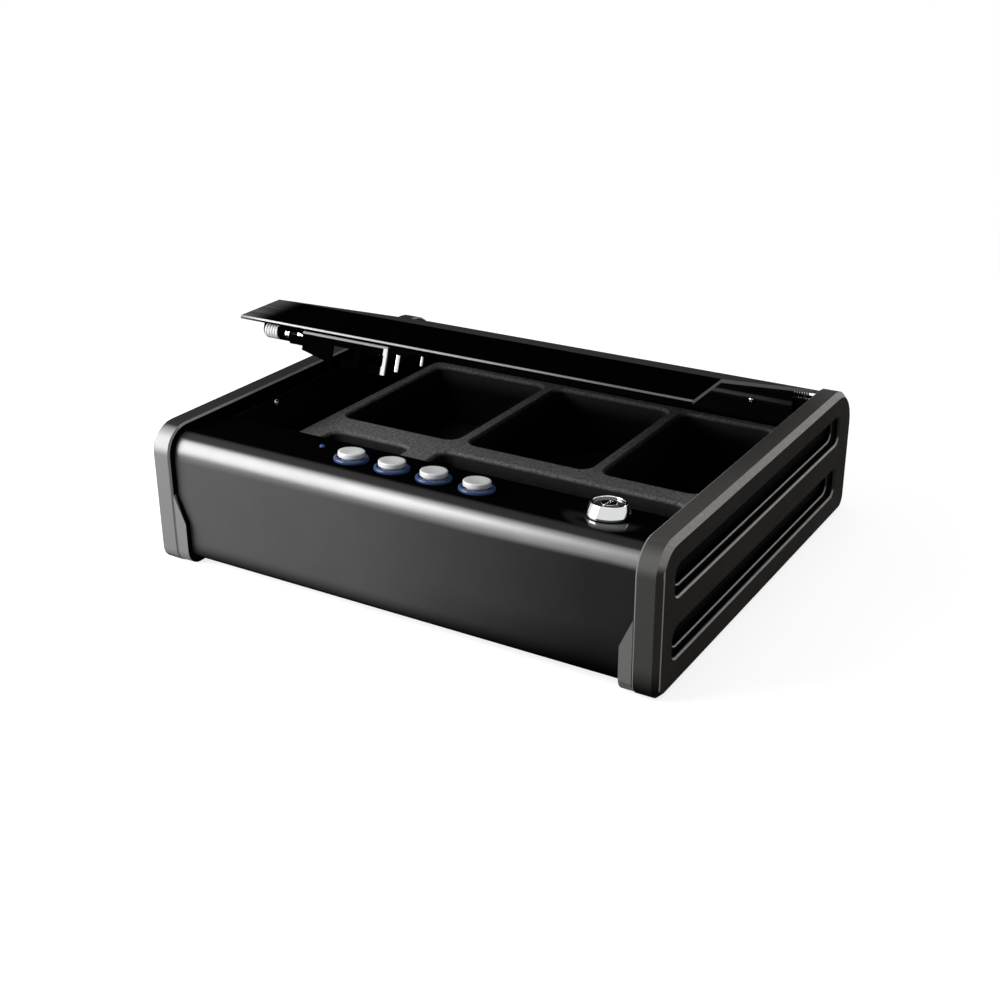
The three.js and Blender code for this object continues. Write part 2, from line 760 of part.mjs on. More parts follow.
function sideWall() {
  const low = floorTop + SEAT;
  const front = frontSheet + SHEET + SEAT;
  const back = backSheet - SHEET - SEAT;
  const fall = Math.tan(deckTilt);
  const underDeck = (y) => deckFrontZ - SHEET - 2 * SEAT - (y - frontSheet) * fall;
  const bendStart = frontSheet + FRONT_BEND;
  const outline = shapeOf([
    [front, low + WALL_CHAMFER],
    [front + WALL_CHAMFER, low],
    [back - WALL_CHAMFER, low],
    [back, low + WALL_CHAMFER],
    [back, backWallTop],
    [back - WALL_CHAMFER, sideWallTop],
    [deckBack + SEAT, sideWallTop],
    [deckBack + SEAT, deckBackZ - SHEET - SMALL_BEND - SEAT],
    [deckBack - SHEET - SMALL_BEND, deckBackZ - SHEET - SMALL_BEND - SEAT],
    [bendStart, underDeck(bendStart) - SEAT],
    [front, deckFrontZ - FRONT_BEND - SEAT],
  ]);
  const holes = wallScrews.map((y) => {
    const length = SIDE_WALL + 2 * OVERRUN;
    const profile = [[0, 0], [SCREW_HOLE, 0], [SCREW_HOLE, length], [0, length]];
    return turnedAlongX(profile, [wallInner - OVERRUN, y, wallScrewZ], 8);
  });
  return cut(alongX(outline, wallInner, wallOuter), ...holes);
}

function addCase() {
  piece('front_shell', frontShell(), PAINTED_STEEL);
  piece('base_pan', basePan(), PAINTED_STEEL);
  const wall = sideWall();
  piece('left_side_wall', wall.clone().scale(-1, 1, 1), PAINTED_INNER);
  piece('right_side_wall', wall, PAINTED_INNER);
  wallScrews.forEach((y, i) => {
    const right = screw().rotateY(-Math.PI / 2).translate(wallInner, y, wallScrewZ);
    piece(`left_wall_screw_${i + 1}`, right.clone().scale(-1, 1, 1), CHROME);
    piece(`right_wall_screw_${i + 1}`, right, CHROME);
  });
}

// Hinge

// Knuckles take turns: even ones belong to the case's leaf, odd ones to the lid's
function knuckles(parity) {
  const length = (2 * hingeHalf) / KNUCKLES;
  const starts = Array.from({ length: KNUCKLES }, (_, i) => i * length - hingeHalf);
  return starts.filter((_, i) => i % 2 === parity).map((start) => {
    const from = start + SEAT / 2;
    const to = start + length - SEAT / 2;
    return { from, to };
  });
}

function knuckleRing({ from, to }) {
  const profile = [
    [KNUCKLE_BORE, 0],
    [KNUCKLE_RADIUS, 0],
    [KNUCKLE_RADIUS, to - from],
    [KNUCKLE_BORE, to - from],
  ];
  return turnedAlongX(profile, [from, hingeY, hingeZ], 12);
}

function hingeLeaf(parity, plate, strap) {
  const length = 2 * hingeHalf;
  const bore = turnedAlongX(
    [[0, 0], [KNUCKLE_BORE, 0], [KNUCKLE_BORE, length], [0, length]],
    [-hingeHalf, hingeY, hingeZ],
    12,
  );
  const rings = knuckles(parity).flatMap((span) => [knuckleRing(span), strap(span)]);
  return cut(join(plate(-hingeHalf, hingeHalf), ...rings), bore);
}

function bodyLeaf() {
  const back = hingeY + KNUCKLE_RADIUS;
  const low = hingeZ - BODY_LEAF_HEIGHT;
  const plate = (from, to) => block(
    [from, back - LEAF, low],
    [to, back, hingeZ - KNUCKLE_RADIUS - SEAT],
  );
  const strap = ({ from, to }) => block([from, back - LEAF, low], [to, back, hingeZ]);
  return cut(hingeLeaf(0, plate, strap), ...hingeScrewHoles());
}

function lidLeaf() {
  const top = hingeZ + KNUCKLE_RADIUS;
  const front = hingeY - LID_LEAF_DEPTH;
  const plate = (from, to) => block(
    [from, front, top - LEAF],
    [to, hingeY - KNUCKLE_RADIUS - SEAT, top],
  );
  const strap = ({ from, to }) => block([from, front, top - LEAF], [to, hingeY, top]);
  return hingeLeaf(1, plate, strap);
}

function hingePin() {
  const half = hingeHalf + PIN_OVERHANG;
  const profile = [[0, 0], [HINGE_PIN_RADIUS, 0], [HINGE_PIN_RADIUS, 2 * half], [0, 2 * half]];
  return turnedAlongX(profile, [-half, hingeY, hingeZ], 12);
}

// A bar with a rounded face clamps the leaf to the back wall
function clampBar() {
  const back = clampBarFace + CLAMP_BAR;
  const outline = new THREE.Shape();
  outline.absellipse(back, clampBarZ, CLAMP_BAR, CLAMP_BAR_HEIGHT / 2, Math.PI / 2,
    (3 * Math.PI) / 2, false, 0);
  return cut(alongX(outline, -hingeHalf, hingeHalf), ...hingeScrewHoles());
}

function hingeScrew(x) {
  const length = backSheet - clampBarFace - SEAT;
  return screw(length).rotateX(Math.PI / 2).translate(x, clampBarFace, clampBarZ);
}

// A popping spring coils round the pin's end, one leg down the wall and one under the lid
function lidSpring(side) {
  const coil = new Coil({
    radius: KNUCKLE_RADIUS - SPRING_WIRE,
    pitch: SPRING_PITCH,
    turns: SPRING_TURNS + 0.25,
    startLeg: SPRING_LEG,
    endLeg: SPRING_LEG,
    startAngle: 0,
  });
  const legs = SPRING_LEG / (Math.PI * coil.radius);
  const steps = Math.round(CURL_STEPS * (SPRING_TURNS + legs));
  const start = hingeHalf + 2 * SEAT + SPRING_WIRE;
  tellGap(side < 0 ? 'left_lid_spring' : 'right_lid_spring', coil, SPRING_WIRE);
  const geometry = wire(coil, SPRING_WIRE, steps).translate(start, hingeY, hingeZ);
  return side < 0 ? geometry.scale(-1, 1, 1) : geometry;
}

function addHinge() {
  piece('hinge_body_leaf', bodyLeaf(), PAINTED_INNER);
  piece('hinge_clamp_bar', clampBar(), PAINTED_INNER);
  hingeScrewPlaces().forEach((x, i) => {
    piece(`hinge_screw_${i + 1}`, hingeScrew(x), CHROME);
  });
  piece('hinge_pin', hingePin(), ZINC);
  piece('left_lid_spring', lidSpring(-1), SPRING_STEEL);
  piece('right_lid_spring', lidSpring(1), SPRING_STEEL);
  lidPiece('hinge_lid_leaf', lidLeaf(), PAINTED_INNER);
}

// Lid

function lidPanel() {
  const half = SHEET / 2;
  const path = [
    [lidFront, lidTop - LID_BEVEL_DROP - half],
    [lidFront + LID_BEVEL_RUN, lidTop - half],
    [hingeY - LID_BACK_GAP, lidTop - half],
  ];
  return alongX(bentSheet(path, [SMALL_BEND], SHEET), -lidHalf, lidHalf);
}

// The height of the bevel's underside, less a seat gap, over a place in the shut lid
function underBevel(y) {
  const drop = LID_BEVEL_DROP - (y - lidFront) * Math.tan(bevelAngle);
  return lidTop - drop - (SHEET + SEAT) / Math.cos(bevelAngle);
}

// The bracket's section: a flange that follows the bevel and a plate that hangs from it
function strikeSection() {
  const half = SHEET / 2;
  const lift = half / Math.cos(bevelAngle);
  const path = [
    [strikeFace + half, strikeLow],
    [strikeFace + half, underBevel(strikeFace + half) - lift],
    [strikeFace + STRIKE_TOP_DEPTH, underBevel(strikeFace + STRIKE_TOP_DEPTH) - lift],
  ];
  return alongX(bentSheet(path, [SMALL_BEND - half], SHEET), strikeLeft, strikeRight);
}

// A strap under the bevel and the web that hangs from it behind the sleeve carry the outer ear
function strikeWeb() {
  const front = axleY + SLEEVE_RADIUS + SEAT;
  const back = strikeFace + STRIKE_TOP_DEPTH;
  const thick = SHEET / Math.cos(bevelAngle);
  const left = strikeEnd - WEB_REACH;
  const right = strikeLeft + OVERRUN;
  const low = lidTop - LID_BEVEL_DROP - WEB_DROP;
  const strap = alongX(shapeOf([
    [front, underBevel(front) - thick],
    [back, underBevel(back) - thick],
    [back, underBevel(back)],
    [front, underBevel(front)],
  ]), left, right);
  const outline = new THREE.Shape();
  outline.moveTo(right, low);
  outline.lineTo(right, underBevel(front) - thick / 2);
  outline.lineTo(left, underBevel(front) - thick / 2);
  outline.absarc(left + WEB_CORNER, low + WEB_CORNER, WEB_CORNER, Math.PI,
    (3 * Math.PI) / 2, false);
  return [strap, alongY(outline, front, front + SHEET)];
}

// Each finger rises through a slot from below and then slides behind a hook
function strikeSlots() {
  const play = FINGER_PLAY;
  const rise = FINGER_HEIGHT / 2 + play;
  const side = FINGER_WIDTH / 2 + play;
  const depth = [strikeFace - OVERRUN, strikeFace + SHEET + OVERRUN];
  return fingers.flatMap((x) => [
    block(
      [x - side, depth[0], strikeLow - OVERRUN],
      [x + side, depth[1], latchZ + rise],
    ),
    block(
      [x - side, depth[0], latchZ - rise],
      [x + side + LATCH_TRAVEL, depth[1], latchZ + rise],
    ),
  ]);
}

// Ears hang from the flange and hold the axle
function strikeEar(x) {
  const flangeBack = strikeFace + STRIKE_TOP_DEPTH;
  const outline = new THREE.Shape();
  outline.moveTo(strikeFace, underBevel(strikeFace) - SHEET / 2);
  outline.lineTo(strikeFace, axleZ);
  outline.absarc(axleY, axleZ, EAR_RADIUS, Math.PI, 2 * Math.PI, false);
  outline.lineTo(flangeBack, underBevel(flangeBack) - SHEET / 2);
  const hole = turnedAlongX(
    [[0, 0], [AXLE_RADIUS + SEAT, 0], [AXLE_RADIUS + SEAT, EAR + 2 * OVERRUN],
      [0, EAR + 2 * OVERRUN]],
    [x - OVERRUN, axleY, axleZ],
    16,
  );
  return cut(alongX(outline, x, x + EAR), hole);
}

// The plate's lower edge falls to the right, from a rounded nose under the axle
function slopeHeight(x) {
  const along = (x - strikeLeft) / STRIKE_SLOPE_RUN;
  return strikeLow + STRIKE_SLOPE_RISE * (1 - along);
}

function strikeSlope() {
  const from = strikeLeft - 2 * STRIKE_NOSE;
  const to = strikeLeft + STRIKE_SLOPE_RUN;
  return alongY(shapeOf([
    [from, strikeLow - OVERRUN],
    [to, strikeLow - OVERRUN],
    [to, slopeHeight(to)],
    [from, slopeHeight(from)],
  ]), strikeFace - OVERRUN, strikeFace + SHEET + OVERRUN);
}

function strikeNose() {
  const from = strikeLeft - STRIKE_NOSE;
  const to = strikeLeft + SHEET;
  const low = slopeHeight(from + STRIKE_CORNER);
  const outline = new THREE.Shape();
  outline.moveTo(to, strikeLow + SHEET);
  outline.lineTo(to, low + STRIKE_NOSE_HEIGHT);
  outline.lineTo(from, low + STRIKE_NOSE_HEIGHT);
  outline.absarc(from + STRIKE_CORNER, low + STRIKE_CORNER, STRIKE_CORNER, Math.PI,
    (3 * Math.PI) / 2, false);
  return alongY(outline, strikeFace, strikeFace + SHEET);
}

function strikeBracket() {
  const plate = strikeSection();
  const side = block(
    [strikeRight - SHEET, strikeFace + SHEET / 2, strikeLow],
    [strikeRight, strikeFace + STRIKE_RETURN, underBevel(strikeFace) - SHEET],
  );
  const ears = [strikeEar(strikeEnd), strikeEar(strikeLeft)];
  const body = join(plate, strikeNose(), ...strikeWeb(), side, ...ears);
  return cut(body, strikeSlope(), ...strikeSlots());
}

function strikeAxle() {
  const from = sleeveEnd - SLEEVE_GAP;
  const length = strikeLeft + 2 * EAR - from;
  return turnedAlongX(
    [[0, 0], [AXLE_RADIUS, 0], [AXLE_RADIUS, length], [0, length]],
    [from, axleY, axleZ],
    16,
  );
}

// A ribbed nylon sleeve on the axle's outer end, beyond the ear
function axleSleeve() {
  const bore = AXLE_RADIUS + SEAT;
  const pitch = SLEEVE_WIDTH / SLEEVE_RIBS;
  const ribs = Array.from({ length: SLEEVE_RIBS }, (_, i) => [
    [SLEEVE_RADIUS - SEAT, i * pitch],
    [SLEEVE_RADIUS, (i + 0.5) * pitch],
  ]).flat();
  return turnedAlongX(
    [[bore, 0], ...ribs, [SLEEVE_RADIUS - SEAT, SLEEVE_WIDTH], [bore, SLEEVE_WIDTH]],
    [sleeveEnd, axleY, axleZ],
    16,
  );
}

// A ring with a waist between two flanges
function axleCollar(x, width) {
  const bore = AXLE_RADIUS + SEAT;
  const waist = (bore + COLLAR_RADIUS) / 2;
  return turnedAlongX([
    [bore, 0],
    [COLLAR_RADIUS, 0],
    [COLLAR_RADIUS, width / 4],
    [waist, width / 2],
    [COLLAR_RADIUS, (3 * width) / 4],
    [COLLAR_RADIUS, width],
    [bore, width],
  ], [x, axleY, axleZ], 12);
}

// A block under the bevel carries two locating pins
function guideBlock() {
  const back = strikeFace + GUIDE_BLOCK_DEPTH;
  const low = lidTop - LID_BEVEL_DROP - GUIDE_BLOCK_DROP;
  const outline = shapeOf([
    [strikeFace, low],
    [back, low],
    [back, underBevel(back)],
    [strikeFace, underBevel(strikeFace)],
  ]);
  const right = guideBlockLeft + GUIDE_BLOCK_WIDTH;
  const step = block(
    [guideBlockLeft + GUIDE_BLOCK_WIDTH / 2, strikeFace - OVERRUN, low - OVERRUN],
    [right + OVERRUN, back + OVERRUN, low + GUIDE_BLOCK_STEP],
  );
  const sockets = guidePinPlaces().map((x, i) => guidePin(x, i, 0, SEAT, OVERRUN));
  return cut(alongX(outline, guideBlockLeft, right), step, ...sockets);
}

function guidePinPlaces() {
  return guidePinShares.map((share) => guideBlockLeft + share * GUIDE_BLOCK_WIDTH);
}

function guidePin(x, i, length, grow, extra) {
  const low = lidTop - LID_BEVEL_DROP - GUIDE_BLOCK_DROP + i * GUIDE_BLOCK_STEP;
  const radius = GUIDE_PIN_RADII[i] + grow;
  const inside = GUIDE_BLOCK_DROP / 2 - i * GUIDE_BLOCK_STEP / 2;
  return turned([
    [0, -length - extra],
    [radius / 2, -length - extra],
    [radius, -length - extra + radius / 2],
    [radius, inside + extra * grow],
    [0, inside + extra * grow],
  ], 16).translate(x, strikeFace + GUIDE_BLOCK_DEPTH / 2, low);
}

function addLid() {
  lidPiece('lid_panel', lidPanel(), PAINTED_STEEL);
  lidPiece('strike_bracket', strikeBracket(), PAINTED_INNER);
  lidPiece('strike_axle', strikeAxle(), ZINC);
  lidPiece('axle_sleeve', axleSleeve(), NYLON);
  lidPiece('axle_collar', axleCollar(strikeEnd + COLLAR_OFFSET, COLLAR_WIDTH), CHROME);
  const clipEnd = strikeLeft - CLIP_GAP - CLIP_WIDTH;
  lidPiece('axle_clip', axleCollar(clipEnd, CLIP_WIDTH), CHROME);
  lidPiece('guide_block', guideBlock(), BLACK_NYLON);
  guidePinPlaces().forEach((x, i) => {
    lidPiece(`guide_pin_${i + 1}`, guidePin(x, i, GUIDE_PIN_LENGTHS[i], 0, 0), CHROME);
  });
}

// Keypad, in the deck's frame

function buttonRing() {
  const bore = STEM_RADIUS + PLAY;
  const recess = BUTTON_RADIUS + PLAY;
  const shoulder = (RING_RADIUS - recess) / 2;
  return turned([
    [bore, -SHEET - OVERRUN],
    [RING_NECK, -SHEET - OVERRUN],
    [RING_NECK, SEAT],
    [RING_RADIUS, SEAT],
    [RING_RADIUS, RING_HEIGHT - shoulder],
    [RING_RADIUS - shoulder, RING_HEIGHT],
    [recess, RING_HEIGHT],
    [recess, SEAT + RING_FLOOR],
    [bore, SEAT + RING_FLOOR],
  ], 22);
}

const stemLow = -BOARD_DROP + MAT + SEAT + DOME_RISE + SEAT + BUTTON_TRAVEL;

function buttonCap() {
  const edge = BUTTON_DISH;
  return turned([
    [0, stemLow],
    [STEM_RADIUS, stemLow],
    [STEM_RADIUS, BUTTON_SKIRT],
    [BUTTON_RADIUS, BUTTON_SKIRT],
    [BUTTON_RADIUS, BUTTON_TOP - edge],
    [BUTTON_RADIUS - edge, BUTTON_TOP],
    [BUTTON_RADIUS - 2 * edge, BUTTON_TOP],
    [STEM_RADIUS, BUTTON_TOP - edge],
    [0, BUTTON_TOP - edge],
  ], 22);
}

// A rubber mat with a dome under each button
function keypadMat() {
  const low = -BOARD_DROP + SEAT;
  const half = 1.5 * BUTTON_PITCH + MAT_DEPTH / 2;
  const sheet = block(
    [BUTTON_X - half, BUTTON_Y - MAT_DEPTH / 2, low],
    [BUTTON_X + half, BUTTON_Y + MAT_DEPTH / 2, low + MAT],
  );
  const domes = buttonPlaces().map((x) => turned([
    [0, low + MAT / 2],
    [DOME_RADIUS, low + MAT / 2],
    [DOME_RADIUS, low + MAT],
    [DOME_RADIUS * 0.7, low + MAT + DOME_RISE],
    [0, low + MAT + DOME_RISE],
  ], 10).translate(x, BUTTON_Y, 0));
  return join(sheet, ...domes);
}

function postPlaces() {
  const y = BOARD_DEPTH / 2 - POST_INSET;
  const right = boardRight - POST_INSET;
  const left = boardLeft + POST_INSET;
  const inner = ledX + LED_RADIUS + 3 * POST_RADIUS;
  return [[left, -y], [right, -y], [right, y], [inner, y]];
}

function pillar(radius, low, high, sides = 16) {
  return turned([[0, low], [radius, low], [radius, high], [0, high]], sides);
}

function keypadBoard() {
  const low = -BOARD_DROP - BOARD;
  const half = BOARD_DEPTH / 2;
  const sheet = block([boardLeft, -half, low], [boardRight, half, -BOARD_DROP]);
  const under = low - CHIP_HEIGHT;
  const chip = block([-CHIP / 2, -CHIP / 2, under], [CHIP / 2, CHIP / 2, low + BOARD / 2]);
  const buzzer = pillar(BUZZER_RADIUS, low - BUZZER_HEIGHT, low + BOARD / 2, 12);
  const holes = postPlaces().map(([x, y]) => (
    pillar(SCREW_HOLE, low - OVERRUN, -BOARD_DROP + OVERRUN, 8).translate(x, y, 0)
  ));
  const loaded = join(sheet, chip, buzzer.translate(BUTTON_PITCH * 1.5, 0, 0));
  return cut(loaded, ...holes);
}

// A frame under the deck: four posts whose pins are staked through the board, and rails
function boardCarrier() {
  const low = -BOARD_DROP + SEAT;
  const high = -SHEET - SEAT;
  const pinEnd = -BOARD_DROP - BOARD - OVERRUN;
  const posts = postPlaces().flatMap(([x, y]) => [
    pillar(POST_RADIUS, low, high, 6).translate(x, y, 0),
    pillar(SCREW_SHANK, pinEnd, high, 8).translate(x, y, 0),
  ]);
  const [[left, front], , [right, back], [inner]] = postPlaces();
  const half = RAIL / 2;
  const rail = (from, to) => block([...from, high - RAIL_HEIGHT], [...to, high]);
  const rails = [
    rail([left, front - half], [right, front + half]),
    rail([inner, back - half], [right, back + half]),
    rail([right - half, front], [right + half, back]),
  ];
  return join(...posts, ...rails);
}

function statusLed() {
  const low = -BOARD_DROP + SEAT;
  const dome = Array.from({ length: 4 }, (_, i) => {
    const angle = ((i + 1) / 4) * (Math.PI / 2);
    return [i === 3 ? 0 : LED_RADIUS * Math.cos(angle), LED_PROUD * Math.sin(angle) + SEAT];
  });
  const profile = [[0, low], [LED_RADIUS, low], [LED_RADIUS, SEAT], ...dome];
  return turned(profile, 12).translate(ledX, LED_Y, 0);
}

function addKeypad() {
  buttonPlaces().forEach((x, i) => {
    piece(`button_ring_${i + 1}`, buttonRing().translate(x, BUTTON_Y, 0), BLUE_RING, deck);
    piece(`button_${i + 1}`, buttonCap().translate(x, BUTTON_Y, 0), WHITE_CAP, deck);
  });
  piece('keypad_mat', keypadMat(), SILICONE, deck);
  piece('keypad_board', keypadBoard(), BOARD_GREEN, deck);
  piece('board_carrier', boardCarrier(), BLACK_NYLON, deck);
  piece('status_led', statusLed(), BLUE_LENS, deck);
}

// Key lock, in the deck's frame

function lockBezel() {
  return turned([
    [BEZEL_BORE, SEAT],
    [BEZEL_BASE - BEZEL_EDGE, SEAT],
    [BEZEL_BASE, SEAT + BEZEL_EDGE],
    [BEZEL_BASE, SEAT + 2 * BEZEL_EDGE],
    [BEZEL_TOP, BEZEL_HEIGHT - BEZEL_EDGE / 2],
    [BEZEL_TOP - BEZEL_EDGE / 2, BEZEL_HEIGHT],
    [BEZEL_BORE, BEZEL_HEIGHT - BEZEL_EDGE / 2],
  ], 32).translate(lockX, LOCK_Y, 0);
}

function lockBarrel() {
  const bore = PLUG_RADIUS + SEAT;
  const face = BEZEL_HEIGHT - FACE_SINK;
  return turned([
    [bore, -BARREL_LENGTH],
    [BARREL_RADIUS, -BARREL_LENGTH],
    [BARREL_RADIUS, -SEAT],
    [BEZEL_BORE - SEAT, -SEAT],
    [BEZEL_BORE - SEAT, face],
    [bore, face],
  ], 24).translate(lockX, LOCK_Y, 0);
}

const camTop = -BARREL_LENGTH - CAM_GAP;

function keyPlug() {
  const top = BEZEL_HEIGHT - FACE_SINK + PLUG_PROUD;
  const body = pillar(PLUG_RADIUS, -BARREL_LENGTH, top, 20);
  const neck = pillar(PLUG_NECK, camTop + SEAT, OVERRUN - BARREL_LENGTH, 12);
  const tang = pillar(PLUG_RADIUS / 2, camTop - CAM - OVERRUN, camTop + OVERRUN, 4);
  const keyway = block(
    [-KEYWAY_WIDTH / 2, -KEYWAY_LENGTH / 2, top - KEYWAY_DEPTH],
    [KEYWAY_WIDTH / 2, KEYWAY_LENGTH / 2, top + OVERRUN],
  );
  return cut(join(body, neck, tang), keyway).translate(lockX, LOCK_Y, 0);
}

// With the latch drawn back, the cam's arm points along -X
function lockCam() {
  const outline = new THREE.Shape();
  outline.moveTo(0, CAM_END);
  outline.lineTo(-CAM_ARM, CAM_END);
  outline.absarc(-CAM_ARM, 0, CAM_END, Math.PI / 2, (3 * Math.PI) / 2, false);
  outline.lineTo(0, -CAM_END);
  const thick = { depth: CAM, bevelEnabled: false, curveSegments: 6 };
  const arm = new THREE.ExtrudeGeometry(outline, thick).translate(0, 0, camTop - CAM);
  const hub = pillar(CAM_HUB, camTop - CAM, camTop, 16);
  const eye = pillar(PLUG_RADIUS / 2 + SEAT, camTop - 2 * CAM, camTop + OVERRUN, 4);
  return cut(join(arm, hub), eye).translate(lockX, LOCK_Y, 0);
}

function lockNut() {
  const top = -SHEET - SEAT;
  const nut = pillar(NUT_RADIUS, top - NUT_HEIGHT, top, 6);
  const bore = pillar(BARREL_RADIUS + SEAT, top - NUT_HEIGHT - OVERRUN, top + OVERRUN, 24);
  return cut(nut, bore).translate(lockX, LOCK_Y, 0);
}

function addLock() {
  piece('lock_bezel', lockBezel(), CHROME, deck);
  piece('lock_barrel', lockBarrel(), DARK_FACE, deck);
  piece('key_plug', keyPlug(), CHROME, deck);
  piece('lock_cam', lockCam(), ZINC, deck);
  piece('lock_nut', lockNut(), ZINC, deck);
}

// Latch

const camPlace = new THREE.Vector3(lockX, LOCK_Y, camTop - CAM / 2).applyMatrix4(deckMatrix);
const lugRight = lockX - CAM_TAB_GAP - LATCH_TRAVEL;
const solenoidRight = solenoidLeft + SOLENOID_LENGTH;
const armLeft = solenoidRight + PLUNGER_OUT + SEAT;

// A flat bar with two fingers, a lug for the key's cam and an arm for the solenoid
function latchBar() {
  const low = latchZ - LATCH_BAR_HEIGHT / 2;
  const high = latchZ + LATCH_BAR_HEIGHT / 2;
  const middle = (latchFront + latchBack) / 2;
  const left = fingers[0] - FINGER_MARGIN;
  const bar = block([left, latchFront, low], [lugRight - SEAT, latchBack, high]);
  const prongs = fingers.map((x) => block(
    [x - FINGER_WIDTH / 2, middle, latchZ - FINGER_HEIGHT / 2],
    [x + FINGER_WIDTH / 2, latchBack + FINGER_REACH, latchZ + FINGER_HEIGHT / 2],
  ));
  const lug = block(
    [lugRight - LATCH_BAR, camPlace.y - CAM_ARM - CAM_END / 2, low + SEAT],
    [lugRight, middle, camPlace.z + CAM - SEAT],
  );
  const reach = solenoidY - DRAW_ARM_WIDTH;
  const arm = alongX(shapeOf([
    [reach, solenoidZ - DRAW_ARM_WIDTH],
    [middle, solenoidZ - DRAW_ARM_WIDTH],
    [middle, high - SEAT],
    [latchFront - DRAW_ARM_WIDTH, high - SEAT],
    [latchFront - DRAW_ARM_WIDTH, solenoidZ + DRAW_ARM_WIDTH],
    [reach, solenoidZ + DRAW_ARM_WIDTH],
  ]), armLeft, armLeft + LATCH_BAR);
  const hole = turnedAlongX([
    [0, 0], [PLUNGER_NECK + SEAT, 0], [PLUNGER_NECK + SEAT, LATCH_BAR + 2 * OVERRUN],
    [0, LATCH_BAR + 2 * OVERRUN],
  ], [armLeft - OVERRUN, solenoidY, solenoidZ], 16);
  return cut(join(bar, ...prongs, lug, arm), hole);
}

// A hooked channel on the wall holds the bar and lets it slide
function latchGuide() {
  const gap = SEAT;
  const low = latchZ - LATCH_BAR_HEIGHT / 2 - gap - GUIDE;
  const high = latchZ + LATCH_BAR_HEIGHT / 2 + gap + GUIDE;
  const front = latchFront - gap - GUIDE;
  const wall = deckBack - SHEET - SEAT;
  const outline = shapeOf([
    [wall, low],
    [wall, low + GUIDE],
    [front + GUIDE, low + GUIDE],
    [front + GUIDE, high - GUIDE],
    [wall, high - GUIDE],
    [wall, high],
    [front, high],
    [front, low],
  ]);
  const last = fingers.at(-1);
  const [left, right] = guideShares.map((share) => last + share * (armLeft - last));
  return alongX(outline, left, right);
}

function solenoid() {
  const half = SOLENOID_SIZE / 2;
  const inner = half - SOLENOID_YOKE;
  const yoke = block(
    [solenoidLeft, solenoidY - half, solenoidZ - half],
    [solenoidRight, solenoidY + half, solenoidZ + half],
  );
  const window = block(
    [solenoidLeft + SOLENOID_YOKE, solenoidY - half - OVERRUN, solenoidZ - inner],
    [solenoidRight - SOLENOID_YOKE, solenoidY + half + OVERRUN, solenoidZ + inner],
  );
  const foot = block(
    [solenoidLeft, solenoidY - half, floorTop + SEAT],
    [solenoidLeft + SOLENOID_YOKE, solenoidY + half, solenoidZ],
  );
  const sole = block(
    [solenoidLeft, solenoidY - half, floorTop + SEAT],
    [solenoidRight, solenoidY + half, floorTop + SEAT + SOLENOID_YOKE],
  );
  const bore = turnedAlongX([
    [0, 0], [PLUNGER_RADIUS + PLAY, 0], [PLUNGER_RADIUS + PLAY, SOLENOID_LENGTH],
    [0, SOLENOID_LENGTH],
  ], [solenoidLeft + SOLENOID_YOKE + OVERRUN, solenoidY, solenoidZ], 12);
  return cut(join(cut(yoke, window), foot, sole), bore);
}

function coilWinding() {
  const half = SOLENOID_SIZE / 2 - SOLENOID_YOKE;
  const flange = SOLENOID_YOKE;
  const length = SOLENOID_LENGTH - 2 * SOLENOID_YOKE - 2 * SEAT;
  const bore = PLUNGER_RADIUS + PLAY;
  const rim = half - SEAT;
  const wound = rim - SOLENOID_YOKE;
  return turnedAlongX([
    [bore, 0],
    [rim, 0],
    [rim, flange],
    [wound, flange],
    [wound, length - flange],
    [rim, length - flange],
    [rim, length],
    [bore, length],
  ], [solenoidLeft + SOLENOID_YOKE + SEAT, solenoidY, solenoidZ], 16);
}

function plunger() {
  const start = solenoidRight - PLUNGER_IN;
  const shoulder = PLUNGER_IN + PLUNGER_OUT;
  const neck = shoulder + LATCH_BAR + 2 * SEAT;
  return turnedAlongX([
    [0, 0],
    [PLUNGER_RADIUS, 0],
    [PLUNGER_RADIUS, shoulder],
    [PLUNGER_NECK, shoulder],
    [PLUNGER_NECK, neck],
    [PLUNGER_RADIUS, neck],
    [PLUNGER_RADIUS, neck + PLUNGER_HEAD],
    [0, neck + PLUNGER_HEAD],
  ], [start, solenoidY, solenoidZ], 12);
}

function returnSpring() {
  const length = PLUNGER_OUT - 4 * SEAT - 2 * RETURN_WIRE;
  const coil = new Coil({
    radius: PLUNGER_RADIUS + PLAY + RETURN_WIRE + SEAT,
    pitch: length / RETURN_TURNS,
    turns: RETURN_TURNS,
    startLeg: 0,
    endLeg: 0,
    startAngle: 0,
  });
  const start = solenoidRight + 2 * SEAT + RETURN_WIRE;
  tellGap('latch_spring', coil, RETURN_WIRE);
  return wire(coil, RETURN_WIRE, CURL_STEPS * RETURN_TURNS).translate(start, solenoidY, solenoidZ);
}

function addLatch() {
  piece('latch_bar', latchBar(), ZINC);
  piece('solenoid_plunger', plunger(), ZINC);
  piece('latch_guide', latchGuide(), ZINC);
  piece('solenoid_frame', solenoid(), ZINC);
  piece('solenoid_coil', coilWinding(), COPPER);
  piece('latch_spring', returnSpring(), SPRING_STEEL);
}

// Batteries

const cellPitch = CELL_RADIUS + CELL_GAP / 2;
const cellSpan = CELL_LENGTH + CELL_TIP_HEIGHT;
const holderInner = {
  x: cellSpan / 2 + CELL_GAP,
  y: 2 * CELL_RADIUS + 1.5 * CELL_GAP,
  top: floorTop + SEAT + 4 * CELL_RADIUS + 3 * CELL_GAP,
};
const holderX = -sheetHalf + BAY_SIDE_GAP + holderInner.x + HOLDER_WALL;
const holderY = latchFront - BAY_BACK_GAP - HOLDER_WALL - holderInner.y;

